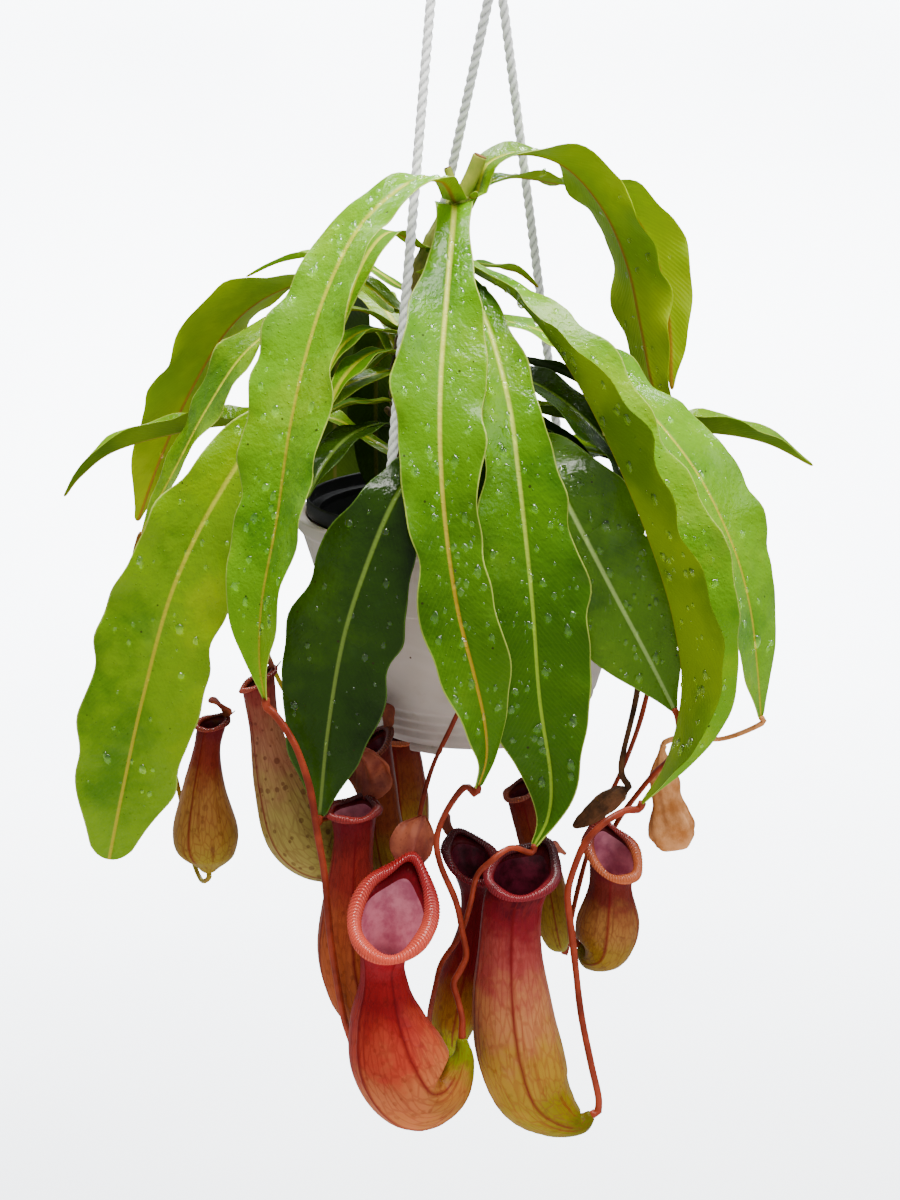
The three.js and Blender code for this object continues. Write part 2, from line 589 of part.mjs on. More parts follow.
function withered({ line, front, flat, tail: stalk }, leafLines) {
  const frames = carriedFrames(curveThrough(line), front, FRAME_COUNT);
  const radii = line.map((p) => p[3]);
  const rings = [];
  for (let i = 0; i <= PITCHER.rings; i++) {
    const t = i / PITCHER.rings;
    const frame = frames[Math.round(t * FRAME_COUNT)];
    const ring = Array.from({ length: PITCHER.sides }, (_, k) => {
      const angle = (2 * Math.PI * k) / PITCHER.sides;
      const crease = 1 + 0.12 * Math.cos(3 * angle + 4 * t);
      const reach = along(radii, t) * crease;
      return frame.centre.clone()
        .addScaledVector(frame.facing, flat * reach * Math.cos(angle))
        .addScaledVector(frame.side, reach * Math.sin(angle));
    });
    rings.push(ring);
  }
  return joined([loft(rings), tail(line, stalk, leafLines)]);
}

// Tendrils run from a leaf's tip to a pitcher's base
const TENDRILS = [
  {
    name: 'tendril_front_left', leaf: 'leaf_front_centre', pitcher: 'pitcher_front_left', radius: 1.7, steps: 22,
    points: [[-6, -107, -119], [-15, -110, -131], [-19, -110, -144], [-17, -108, -158], [-10, -107, -176],
      [-7, -107, -191], [-5, -108, -203], [-8, -111, -210], [-11, -112, -216], [-9, -113, -224], [-7, -116, -232]]
  },
  {
    name: 'tendril_centre_left', leaf: 'leaf_front_left', pitcher: 'pitcher_centre_left', radius: 1.9, steps: 16,
    points: [[-94, -111, -82], [-88, -113, -90], [-83, -114, -100], [-78, -113, -118], [-75, -112, -140],
      [-72, -111, -161], [-70, -110, -190], [-67, -109, -215], [-64, -105, -237], [-61, -99, -252]]
  },
  {
    name: 'tendril_centre', leaf: 'leaf_front_right', pitcher: 'pitcher_centre', radius: 1.5, steps: 18,
    points: [[16, -110, -148], [7, -116, -152], [0, -113, -161], [-3, -107, -177], [-6, -102, -190],
      [-10, -100, -200], [-17, -98, -212], [-20, -94, -226], [-23, -86, -248], [-20, -78, -268], [-14, -72, -278]]
  },
  {
    name: 'tendril_front_right', leaf: 'leaf_folded_right', pitcher: 'pitcher_front_right', radius: 1.9, steps: 18,
    points: [[71, -92, -136], [61, -97, -140], [52, -99, -149], [47, -99, -161], [44, -98, -173], [44, -98, -182],
      [46, -98, -197], [48, -98, -214], [51, -99, -238], [56, -100, -263], [60, -100, -281], [60, -100, -289]]
  },
  {
    name: 'tendril_right', leaf: 'leaf_dark_right', pitcher: 'pitcher_right', radius: 1.5, steps: 16,
    points: [[96, -86, -100], [93, -78, -114], [87, -66, -126], [80, -58, -139], [72, -53, -153], [66, -50, -167],
      [61, -50, -182], [55, -54, -200], [51, -62, -211]]
  },
  {
    name: 'tendril_behind_right', leaf: 'leaf_inner_right_1', pitcher: 'pitcher_behind_right', radius: 1.4, steps: 14,
    points: [[88, -56, -30], [88, -55, -60], [82, -50, -100], [73, -43, -132], [62, -38, -160], [54, -38, -190],
      [49, -42, -212]]
  },
  {
    name: 'tendril_behind_left', leaf: 'leaf_behind_centre', pitcher: 'pitcher_behind_left', radius: 1.3, steps: 16,
    points: [[5, -88, -46], [0, -80, -70], [-12, -72, -100], [-22, -68, -124], [-28, -70, -150], [-28, -68, -180],
      [-28, -66, -206], [-29, -58, -215]]
  },
  {
    name: 'tendril_behind_pot', leaf: 'leaf_back_5', pitcher: 'pitcher_behind_pot', radius: 1.4, steps: 14,
    points: [[-112, 56, -98], [-98, 54, -126], [-62, 46, -160], [-48, 24, -190], [-38, 8, -204]]
  },
  {
    name: 'tendril_small_left', leaf: 'leaf_narrow_left', pitcher: 'pitcher_small_left', radius: 1.3, steps: 12,
    points: [[-169, -28, -30], [-168, -24, -60], [-160, -20, -110], [-152, -18, -150], [-146, -24, -182], [-140, -33, -194]]
  }
];

function endOf(points) {
  const curve = curveThrough(points);
  return { point: curve.getPointAt(1), tangent: curve.getTangentAt(1).normalize() };
}

function tendril(spec, leafLines) {
  const tip = endOf(leafLines.get(spec.leaf));
  const base = endOf(PITCHERS.find((p) => p.name === spec.pitcher).line);
  const points = [
    tip.point.clone().addScaledVector(tip.tangent, GAP),
    tip.point.clone().addScaledVector(tip.tangent, 3),
    ...spec.points.map(vector),
    base.point.clone().addScaledVector(base.tangent, 3),
    base.point.clone().addScaledVector(base.tangent, GAP)
  ];
  return tube(points, spec.radius, TENDRIL_SIDES, spec.steps);
}

// Pots, growing medium and stem

function outerPot() {
  const { rim, wall, mouth, foot, top, bottom } = POT;
  const slope = (height) => foot + ((mouth - foot) * (height - bottom)) / (top - 8 - bottom);
  const ridges = [-113, -108, -103, -98].flatMap((z) => [[slope(z - 1.5), z - 1.5], [slope(z) + 0.9, z]]);
  const seam = -46;
  const profile = [
    [0, bottom + 1], [foot - 10, bottom + 1], [foot - 8, bottom], [foot - 2, bottom], [foot, bottom + 1.5],
    ...ridges, [slope(seam), seam - 0.7], [slope(seam) + 0.7, seam], [mouth + 0.6, top - 8],
    [rim, top - 6], [rim, top], [mouth - wall, top], [mouth - wall, top - 8],
    [foot - wall, bottom + wall + 2], [foot - wall - 2, bottom + wall + 1], [0, bottom + wall + 1]
  ];
  const holes = ROPE.holeAngles.map((angle) => {
    const centre = ropeHole(angle);
    return moved(new THREE.CylinderGeometry(4.7, 4.7, 12, 10).rotateX(Math.PI / 2), centre.x, centre.y, top - 2);
  });
  const lugs = ROPE.holeAngles.map((angle) => {
    const centre = ropeHole(angle);
    return moved(new THREE.CylinderGeometry(7, 7, 4, 12).rotateX(Math.PI / 2), centre.x, centre.y, top - 2.4);
  });
  const feet = ROPE.holeAngles.map((angle) => {
    const tab = new THREE.BoxGeometry(5, 17, 4.5).translate(foot - 3, 0, bottom - 1.25);
    return tab.rotateZ(angle * RAD);
  });
  const inside = mouth - wall - 0.2;
  const bore = new THREE.CylinderGeometry(inside, inside, 20, 24).rotateX(Math.PI / 2).translate(0, 0, top);
  let body = [turned(profile, 24), ...lugs, ...feet].map(solid).reduce((all, next) => all.add(next));
  body = body.subtract(solid(bore));
  holes.forEach((hole) => { body = body.subtract(solid(hole)); });
  return geometryOf(body);
}

function ropeHole(angle) {
  return new THREE.Vector3(ROPE.holeRadius * Math.cos(angle * RAD), ROPE.holeRadius * Math.sin(angle * RAD), 0);
}

function nurseryPot() {
  const { rim, band, mouth, foot, wall, bottom } = NURSERY_POT;
  return turned([
    [0, bottom], [foot - 2, bottom], [foot, bottom + 2], [mouth, -band], [rim, -band], [rim, -0.8],
    [rim - wall * 0.5, 0], [rim - wall, -0.6], [rim - wall, -band + wall], [mouth - wall, -band + wall],
    [mouth - wall, -band - 2], [foot - wall, bottom + wall + 2], [foot - wall - 2, bottom + wall], [0, bottom + wall]
  ], 24);
}

function growingMedium() {
  const { mouth, foot, wall, bottom, band } = NURSERY_POT;
  const inner = (height) => {
    const share = (height - (bottom + wall + 2)) / (-band - 2 - bottom - wall - 2);
    return foot - wall + (mouth - foot) * share - 0.5;
  };
  const profile = [
    [0, bottom + wall + GAP], [foot - wall - 2.8, bottom + wall + GAP], [inner(bottom + 8), bottom + 8],
    [inner(MEDIUM_TOP - 2), MEDIUM_TOP - 2], [inner(MEDIUM_TOP) - 4, MEDIUM_TOP + 0.5],
    [52, MEDIUM_TOP - 1.5], [34, MEDIUM_TOP + 1.5], [14, MEDIUM_TOP - 1], [0, MEDIUM_TOP + 1]
  ];
  const hole = tube(STEM_LINE, STEM.radius + GAP, STEM.sides, 18);
  return geometryOf(solid(turned(profile, 24)).subtract(solid(hole)));
}

// The old flower stalks were cut off at the crown
const STUBS = [
  { points: [[-8, 0, 146], [-3, -1, 156], [2, -2, 167]], radius: 3.6 },
  { points: [[-9, 0, 146], [-12, 1, 155], [-14, 2, 161]], radius: 2 }
];

function mainStem() {
  const stubs = STUBS.map(({ points, radius }) => tube(points, radius, 8, 3));
  return joined([tube(STEM_LINE, STEM.radius, STEM.sides, 18), ...stubs]);
}

// Hook and ropes

function hook() {
  const { radius, angles, height, thickness, hole } = EYE;
  const foot = new THREE.CylinderGeometry(11, 13, thickness, 16).rotateX(Math.PI / 2).translate(0, 0, height);
  const arms = angles.flatMap((angle) => {
    const arm = new THREE.BoxGeometry(radius, 7, thickness).translate(radius / 2, 0, height);
    const eye = new THREE.CylinderGeometry(7, 7, thickness, 12).rotateX(Math.PI / 2).translate(radius, 0, height);
    return [arm.rotateZ(angle * RAD), eye.rotateZ(angle * RAD)];
  });
  const bend = [];
  for (let angle = -90; angle <= 190; angle += 20) {
    bend.push([HOOK.radius * Math.cos(angle * RAD), 0, HOOK.centre + HOOK.radius * Math.sin(angle * RAD)]);
  }
  const shank = tube([[0, 0, height], [0, 0, height + 12], ...bend.slice(1)], HOOK.wire, 8, 22);
  let body = [foot, ...arms, shank].map(solid).reduce((all, next) => all.add(next));
  angles.forEach((angle) => {
    const bore = new THREE.CylinderGeometry(hole, hole, 20, 10).rotateX(Math.PI / 2).translate(radius, 0, height);
    body = body.subtract(solid(bore.rotateZ(angle * RAD)));
  });
  return geometryOf(body);
}

function knot(centre) {
  return new THREE.IcosahedronGeometry(KNOT.radius, 1).scale(1, 1, KNOT.squash).translate(centre.x, centre.y, centre.z);
}

function ropeEnds(number) {
  const low = ropeHole(ROPE.holeAngles[number]).setZ(POT.top - 4.4);
  const angle = EYE.angles[number] * RAD;
  const high = new THREE.Vector3(EYE.radius * Math.cos(angle), EYE.radius * Math.sin(angle), EYE.height);
  return { low, high };
}

function rope(number) {
  const { low, high } = ropeEnds(number);
  const direction = high.clone().sub(low).normalize();
  const reach = KNOT.radius * KNOT.squash + GAP + 0.6;
  const lowKnot = low.clone().addScaledVector(direction, -reach / direction.z);
  const highKnot = high.clone().addScaledVector(direction, (EYE.thickness / 2 + reach) / direction.z);
  const line = [lowKnot, lowKnot.clone().lerp(highKnot, 0.5), highKnot];
  return joined([tube(line, ROPE.diameter / 2, ROPE.sides, ROPE.steps), knot(lowKnot), knot(highKnot)]);
}

// The whole object

const plant = new THREE.Group();
plant.position.z = -HOOK_TO_RIM;

function add(name, geometry, colour, roughness = 0.5) {
  const material = new THREE.MeshStandardMaterial({ color: colour, roughness, metalness: 0 });
  const mesh = new THREE.Mesh(geometry, material);
  mesh.name = name;
  plant.add(mesh);
}

add('hook', hook(), COLOURS.hook, 0.35);
['rope_front_left', 'rope_back_right', 'rope_back_left'].forEach((name, number) => {
  add(name, rope(number), COLOURS.rope, 0.9);
});
add('outer_pot', outerPot(), COLOURS.pot, 0.4);
add('nursery_pot', nurseryPot(), COLOURS.nurseryPot, 0.6);
add('growing_medium', growingMedium(), COLOURS.medium, 0.95);
add('main_stem', mainStem(), COLOURS.stem, 0.8);

const leafLines = new Map();
for (const spec of [...LEAVES, ...BACK_LEAVES.map((leaf, i) => backLeaf(leaf, i + 1))]) {
  const points = leafPoints(spec);
  leafLines.set(spec.name, points);
  add(spec.name, blade({ ...spec, points }), spec.dark ? COLOURS.shadedLeaf : COLOURS.leaf);
}
for (const spec of TENDRILS) {
  add(spec.name, tendril(spec, leafLines), COLOURS.tendril);
}
for (const spec of PITCHERS) {
  add(spec.name, pitcher(spec, leafLines), COLOURS.pitcher);
}
for (const spec of WITHERED) {
  add(spec.name, withered(spec, leafLines), COLOURS.dryPitcher, 0.8);
}

export default plant;
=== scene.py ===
"""Hanging pitcher plant: waved leaves, pitchers on tendrils, and a white pot on three ropes.

Lengths in the lists are millimetres from the centre of the pot's rim, with -Y towards the viewer.
spot() turns them into the frame's metres, whose origin is where the hook hangs.
"""
import math
import random

import bmesh
import bpy
from mathutils import Matrix, Vector, noise


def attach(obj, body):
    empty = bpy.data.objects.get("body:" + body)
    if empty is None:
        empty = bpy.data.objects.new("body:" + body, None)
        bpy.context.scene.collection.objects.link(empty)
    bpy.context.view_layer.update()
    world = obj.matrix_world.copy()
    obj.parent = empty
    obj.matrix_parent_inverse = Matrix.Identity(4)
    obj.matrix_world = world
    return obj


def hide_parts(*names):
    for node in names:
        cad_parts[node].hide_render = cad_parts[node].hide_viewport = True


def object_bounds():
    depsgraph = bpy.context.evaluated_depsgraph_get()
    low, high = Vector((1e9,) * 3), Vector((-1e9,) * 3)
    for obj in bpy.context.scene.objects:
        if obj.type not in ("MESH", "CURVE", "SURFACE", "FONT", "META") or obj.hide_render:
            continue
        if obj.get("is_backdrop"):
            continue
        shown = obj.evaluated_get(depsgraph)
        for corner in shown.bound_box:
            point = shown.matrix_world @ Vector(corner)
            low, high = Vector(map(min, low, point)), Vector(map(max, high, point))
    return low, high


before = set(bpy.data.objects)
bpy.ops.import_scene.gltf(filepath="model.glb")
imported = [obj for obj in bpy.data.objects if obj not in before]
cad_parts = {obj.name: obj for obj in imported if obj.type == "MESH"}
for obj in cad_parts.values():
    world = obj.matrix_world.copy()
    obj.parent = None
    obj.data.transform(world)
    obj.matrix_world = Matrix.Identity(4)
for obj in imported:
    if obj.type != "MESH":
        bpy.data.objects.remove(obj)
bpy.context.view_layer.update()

# Driving sizes, as in the solids
HOOK_TO_RIM = 315
GAP = 0.35
LEAF_THICKNESS = 0.9
POT = dict(rim=90, wall=1.8, mouth=87, foot=55.5, top=-8.4, bottom=-118, collar=8, lug=4.4)
NURSERY_POT = dict(rim=85, band=8, mouth=80, foot=51, wall=1.4, bottom=-112)
MEDIUM_TOP = -22
CHIPS = 230
ROPE = dict(diameter=5, lay=16, hole_radius=92.8, hole_angles=(-118, 58, 122))
EYE = dict(radius=20, angles=(180, 60, -60), height=261, thickness=5, hole=4)
KNOT = dict(radius=5, squash=0.8, clear=0.6)
HOOK = dict(radius=15, centre=303, wire=3)
STEM_RADIUS = 5.2
STEM_LINE = [[-28, 0, -46], [-30, 0, -22], [-38, 0, 48], [-33, 0, 87], [-26, 0, 115], [-7, 0, 150]]
LIVE_SWELL = 1.03

UP = Vector((0, 0, 1))


# Places and curves

def spot(p):
    return Vector((p[0], p[1], p[2] - HOOK_TO_RIM)) / 1000


def flat_direction(degrees):
    return Vector((math.cos(math.radians(degrees)), math.sin(math.radians(degrees)), 0))


def smooth(x, low=0.0, high=1.0):
    x = min(1.0, max(0.0, (x - low) / (high - low)))
    return x * x * (3 - 2 * x)


def bell(x, width):
    return math.exp(-((x / width) ** 2))


def along(values, s):
    """A smooth value between equally spaced ones, with s from 0 to 1."""
    spans = len(values) - 1
    if not spans:
        return values[0]
    at = min(max(s, 0) * spans, spans - 1e-9)
    i = int(at)
    u = at - i
    a, b, c, d = (values[min(spans, max(0, k))] for k in (i - 1, i, i + 1, i + 2))
    return b + 0.5 * u * (c - a + u * (2 * a - 5 * b + 4 * c - d + u * (3 * (b - c) + d - a)))


class Route:
    """A smooth curve through points, read by its share of the length."""

    STEPS = 200

    def __init__(self, points):
        inner = [Vector(p[:3]) for p in points]
        self.points = [2 * inner[0] - inner[1], *inner, 2 * inner[-1] - inner[-2]]
        self.marks = [0.0]
        last = self.at(0)
        for i in range(1, self.STEPS + 1):
            here = self.at(i / self.STEPS)
            self.marks.append(self.marks[-1] + (here - last).length)
            last = here
        self.length = self.marks[-1]

    def at(self, t):
        spans = len(self.points) - 3
        where = min(max(t, 0) * spans, spans - 1e-9)
        i = int(where)
        u = where - i
        a, b, c, d = self.points[i:i + 4]
        return b + 0.5 * u * (c - a + u * (2 * a - 5 * b + 4 * c - d + u * (3 * (b - c) + d - a)))

    def share(self, s):
        goal = s * self.length
        low, high = 0, self.STEPS
        while high - low > 1:
            middle = (low + high) // 2
            if self.marks[middle] < goal:
                low = middle
            else:
                high = middle
        part = (goal - self.marks[low]) / max(1e-9, self.marks[high] - self.marks[low])
        return (low + part) / self.STEPS

    def point(self, s):
        return self.at(self.share(s))

    def tangent(self, s, by_length=True):
        t = self.share(s) if by_length else s
        return (self.at(min(1, t + 1e-4)) - self.at(max(0, t - 1e-4))).normalized()


def carried_frames(route, front, count, by_length=False):
    """Frames down a curve that turn with it and never twist: centre, tangent, facing and side."""
    frames = []
    facing = Vector(front) if not isinstance(front, (int, float)) else flat_direction(front)
    for i in range(count + 1):
        s = i / count
        tangent = route.tangent(s, by_length)
        facing = (facing - tangent * facing.dot(tangent)).normalized()
        centre = route.point(s) if by_length else route.at(s)
        frames.append((centre, tangent, facing, tangent.cross(facing)))
    return frames


# Meshes

LAYERS = ("across", "length", "margin", "down", "wing", "hollow_shade")


def woven(columns, rows, row_at, wrap=True, skin_at=None):
    """A grid laid on a surface. row_at(v) gives a function of u that places that row's points, each
    alone or with values for its layers. A wrapped grid closes into a tube, and skin_at(u, v) gives
    each face its material."""
    mesh = bmesh.new()
    uv = mesh.loops.layers.uv.new("UVMap")
    layers = {name: mesh.verts.layers.float.new(name) for name in LAYERS}
    bmesh.ops.create_grid(mesh, x_segments=columns, y_segments=rows, size=0.5)
    for face in mesh.faces:
        face.smooth = True
        if skin_at:
            middle = face.calc_center_median()
            face.material_index = skin_at(middle.x + 0.5, middle.y + 0.5)
        for loop in face.loops:
            loop[uv].uv = (loop.vert.co.x + 0.5, loop.vert.co.y + 0.5)
    placed = [row_at(i / rows) for i in range(rows + 1)]
    for vert in mesh.verts:
        u, v = vert.co.x + 0.5, vert.co.y + 0.5
        found = placed[round(v * rows)](u)
        if isinstance(found, tuple):
            for layer, value in found[1].items():
                vert[layers[layer]] = value
            found = found[0]
        vert.co = spot(found)
    if wrap:
        bmesh.ops.remove_doubles(mesh, verts=mesh.verts, dist=2e-6)
        bmesh.ops.recalc_face_normals(mesh, faces=mesh.faces)
    return mesh


def turned(profile, steps=96, centre=(0, 0)):
    """A closed shell, from a profile of radius and height that starts and ends on the axis
    or closes on itself."""
    mesh = bmesh.new()
    closed = profile[0] == profile[-1]
    points = profile[:-1] if closed else profile
    verts = [mesh.verts.new(spot((centre[0] + r, centre[1], z))) for r, z in points]
    edges = [mesh.edges.new(pair) for pair in zip(verts, verts[1:])]
    if closed:
        edges.append(mesh.edges.new((verts[-1], verts[0])))
    axis = spot((centre[0], centre[1], 0))
    bmesh.ops.spin(mesh, geom=verts + edges, cent=axis, axis=UP, angle=2 * math.pi,
                   steps=steps, use_merge=True)
    bmesh.ops.remove_doubles(mesh, verts=mesh.verts, dist=1e-6)
    bmesh.ops.recalc_face_normals(mesh, faces=mesh.faces)
    for face in mesh.faces:
        face.smooth = True
    return mesh


def rounded(profile, size, segments=3):
    """The same profile with each corner rounded to about that size."""
    out = [profile[0]]
    for before, here, after in zip(profile, profile[1:], profile[2:]):
        a, b, c = Vector(before), Vector(here), Vector(after)
        reach = min(size, 0.45 * (a - b).length, 0.45 * (c - b).length)
        start = b + (a - b).normalized() * reach
        end = b + (c - b).normalized() * reach
        for k in range(segments + 1):
            t = k / segments
            out.append(tuple((1 - t) ** 2 * start + 2 * t * (1 - t) * b + t * t * end))
    return out + [profile[-1]]


def dome(s, length, cap):
    """How much of its width a closed form keeps near its two ends."""
    near = min(s, 1 - s) * length / cap
    return 1.0 if near >= 1 else math.sqrt(max(0.0, near * (2 - near)))


def spread(count):
    """Shares of a length, closer together at its two ends."""
    ends = [0.0, 0.08 / count, 0.3 / count, 0.65 / count]
    return ends + [i / count for i in range(1, count)] + [1 - e for e in reversed(ends)]


def tube(route, radius, columns=12, step=2.0, cap=None, form=None, front=(0.31, -0.95, 0.05), facts=None):
    """A tube along a route. radius is a number or a function of the share of the length, and
    form(angle, s) swells it."""
    shares = spread(max(6, round(route.length / step)))
    size = radius if callable(radius) else (lambda s: radius)
    count = 3 * len(shares)
    frames = carried_frames(route, front, count, by_length=True)

    def row_at(v):
        s = shares[round(v * (len(shares) - 1))]
        facing, side = frames[round(s * count)][2:]
        centre = route.point(s)
        reach = size(s) * dome(s, route.length, cap or size(s))

        def at(u):
            angle = 2 * math.pi * (u % 1.0)
            r = reach * (form(angle, s) if form else 1)
            point = centre + facing * (r * math.cos(angle)) + side * (r * math.sin(angle))
            return (point, facts(angle, s)) if facts else point
        return at
    return woven(columns, len(shares) - 1, row_at)


def joined(*parts):
    """One mesh from several, each a bmesh or a pair of a bmesh and its material index."""
    whole = bmesh.new()
    for part in parts:
        mesh, index = part if isinstance(part, tuple) else (part, None)
        if index is not None:
            for face in mesh.faces:
                face.material_index = index
        held = bpy.data.meshes.new("part")
        mesh.to_mesh(held)
        mesh.free()
        whole.from_mesh(held)
        bpy.data.meshes.remove(held)
    return whole


def piece(name, mesh, materials, node, slot):
    """A finished object that stands for a solid and rides with it."""
    name += "_finished"
    data = bpy.data.meshes.new(name)
    mesh.to_mesh(data)
    mesh.free()
    for material in materials:
        data.materials.append(material)
    made = bpy.data.objects.new(name, data)
    bpy.context.scene.collection.objects.link(made)
    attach(made, "root")
    if node:
        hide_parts(node)
    return made


# Materials

def colour(hexadecimal):
    """sRGB hex to linear."""
    parts = [int(hexadecimal[i:i + 2], 16) / 255 for i in (1, 3, 5)]
    return [c / 12.92 if c <= 0.04045 else ((c + 0.055) / 1.055) ** 2.4 for c in parts] + [1.0]


def fill(tree, node, *values, **named):
    """Fills a node's sockets, by order or name: with numbers, hex colours, or nodes and sockets to link."""
    targets = list(zip([socket for socket in node.inputs if socket.enabled], values))
    targets += [(node.inputs[name.replace("_", " ")], value) for name, value in named.items()]
    for socket, value in targets:
        if isinstance(value, bpy.types.Node):
            value = next(output for output in value.outputs if output.enabled)
        if isinstance(value, bpy.types.NodeSocket):
            tree.links.new(value, socket)
        else:
            socket.default_value = colour(value) if isinstance(value, str) else value


def add(tree, kind, *values, stops=(), **named):
    """Adds a node with its links. Names in small letters are its settings, the others its sockets, and
    stops are the places and hex colours of a ramp."""
    node = tree.nodes.new("ShaderNode" + kind)
    for setting in filter(str.islower, named):
        setattr(node, setting, named[setting])
    if stops:
        ramp = node.color_ramp
        ramp.interpolation = "EASE"
        ramp.elements[0].position, ramp.elements[1].position = stops[0][0], stops[-1][0]
        for place, _ in stops[1:-1]:
            ramp.elements.new(place)
        for element, (_, shade) in zip(ramp.elements, stops):
            element.color = colour(shade)
    fill(tree, node, *values, **{name: value for name, value in named.items() if not name.islower()})
    return node


SOFT = dict(interpolation_type="SMOOTHSTEP")
COLOURS = dict(data_type="RGBA")
TIMES = dict(operation="MULTIPLY")
TIMES_PLUS = dict(operation="MULTIPLY_ADD")


def per(millimetres):
    """The scale of a pattern whose cells are that wide, on coordinates in metres."""
    return 1000 / millimetres


def start(name, *layers):
    """A new material, its tree, its object coordinates, and what its mesh's layers say."""
    material = bpy.data.materials.new(name)
    material.use_nodes = True
    tree = material.node_tree
    read = [add(tree, "Attribute", attribute_name=layer).outputs["Fac"] for layer in layers]
    return material, tree, add(tree, "TexCoord").outputs["Object"], *read


def finish(material, ground, coats=(), relief=(), **sockets):
    """Lays colours on the ground, each with where it shows, and bumps on each other, each with its
    height, strength and depth in millimetres. The rest goes straight into the shader."""
    tree = material.node_tree
    for where, shade in coats:
        ground = add(tree, "Mix", where, ground, shade, **COLOURS)
    surface = {}
    for height, strength, depth in relief:
        bump = add(tree, "Bump", Height=height, Strength=strength, Distance=depth / 1000, **surface)
        surface = dict(Normal=bump)
    fill(tree, tree.nodes["Principled BSDF"], Base_Color=ground, **surface, **sockets)
    return material


def speckles(tree, at, apart, widest, edge, strength):
    """Spots of uneven size, that many millimetres apart. Their size and soft edge are shares of that."""
    cells = add(tree, "TexVoronoi", at, per(apart))
    size = add(tree, "Math", add(tree, "SeparateColor", cells.outputs["Color"]), widest, **TIMES)
    return add(tree, "MapRange", cells, size, add(tree, "Math", size, edge), strength, 0, **SOFT)


def leaf_veins(tree, at, across, length, cloud, wander):
    """Side veins about 3 mm apart, which leave the midrib at a slant and wander with a fine cloud. Gives
    the distance from the midrib, the cloud and the veins."""
    aside = add(tree, "Math", across, operation="ABSOLUTE")
    fine = add(tree, "TexNoise", at, per(cloud), 4, 0.6)
    slant = add(tree, "Math", aside, -1.4, length, **TIMES_PLUS)
    uneven = add(tree, "Math", fine, wander, slant, **TIMES_PLUS)
    turns = add(tree, "Math", uneven, 2 * math.pi / 3.2, **TIMES)
    return aside, fine, add(tree, "Math", turns, operation="SINE")


def leaf_skin(name, young, mature, deep, rib="#c8c830", old_rib="#b6a620", edge="#b5c455", sheen="#9ab860",
              low=None, rough=0.24, gloss=0.18, coat=0.03):
    """Live leaf, upper side: a waxy cuticle over fine slanting veins, with a pale midrib and margin."""
    material, tree, at, across, length, margin = start(name, "across", "length", "margin")
    aside, fine, veins = leaf_veins(tree, at, across, length, 9, 3)
    clouds = add(tree, "Mix", 0.25, add(tree, "TexNoise", at, per(55), 2), fine)
    ground = add(tree, "ValToRGB", clouds, stops=((0.3, deep), (0.5, mature), (0.7, young)))
    crests = add(tree, "Math", veins, 0.7, operation="GREATER_THAN")
    # Pale patches in the sheen colour, in clouds: partly a waxy bloom, partly painted sheen
    bloom_and_sheen = add(tree, "MapRange", add(tree, "TexNoise", at, per(34), 3, 0.6), 0.55, 0.78, 0, 0.08, **SOFT)
    # The midrib is broad and pale near the stem, and on some leaves golden brown further down
    rib_width = add(tree, "MapRange", length, 0, 240, 2, 1.1)
    rib_colour = add(tree, "Mix", add(tree, "MapRange", length, 110, 210), rib, old_rib, **COLOURS)
    coats = [(add(tree, "Math", crests, 0.05, **TIMES), young), (bloom_and_sheen, sheen),
             (speckles(tree, at, 8, 0.085, 0.01, 0.85), "#2c2a0c"),
             (add(tree, "MapRange", aside, 0.4, rib_width, 0.85, 0, **SOFT), rib_colour),
             (add(tree, "MapRange", margin, 0.2, 0.9, 0.8, 0, **SOFT), edge)]
    # Painted shade: where a leaf is given a low colour, its lower part, which curves under, is painted darker
    if low:
        coats.insert(0, (add(tree, "MapRange", length, 110, 210, 0, 0.75), low))
    wet = add(tree, "MapRange", add(tree, "TexNoise", at, per(22), 3), 0.35, 0.65, rough + 0.1, rough - 0.1)
    # Beads of mist, really half a millimetre wide and drawn at one millimetre
    mist = add(tree, "MapRange", add(tree, "TexVoronoi", at, per(3.4)), 0.02, 0.16, 1, 0, **SOFT)
    relief = [(veins, 0.05, 0.2), (fine, 0.7, 1.6), (add(tree, "TexNoise", at, per(2.6), 2), 0.5, 0.6),
              (mist, 0.8, 0.4)]
    return finish(material, ground, coats, relief, Roughness=wet, Specular_IOR_Level=gloss, Coat_Weight=coat,
                  Coat_Roughness=0.12)


def leaf_back(name, light, dark, rib):
    """Live leaf, underside: paler and duller, with a raised midrib."""
    material, tree, at, across, length = start(name, "across", "length")
    aside, fine, veins = leaf_veins(tree, at, across, length, 7, 2)
    ground = add(tree, "ValToRGB", add(tree, "TexNoise", at, per(40), 3), stops=((0.32, dark), (0.66, light)))
    crests = add(tree, "Math", veins, 0.6, operation="GREATER_THAN")
    coats = [(add(tree, "Math", crests, 0.06, **TIMES), light),
             (add(tree, "MapRange", aside, 0.5, 1.6, 0.8, 0, **SOFT), rib)]
    return finish(material, ground, coats, [(veins, 0.1, 0.4), (fine, 0.3, 0.6)],
                  Roughness=add(tree, "MapRange", fine, 0, 1, 0.42, 0.58), Specular_IOR_Level=0.14)


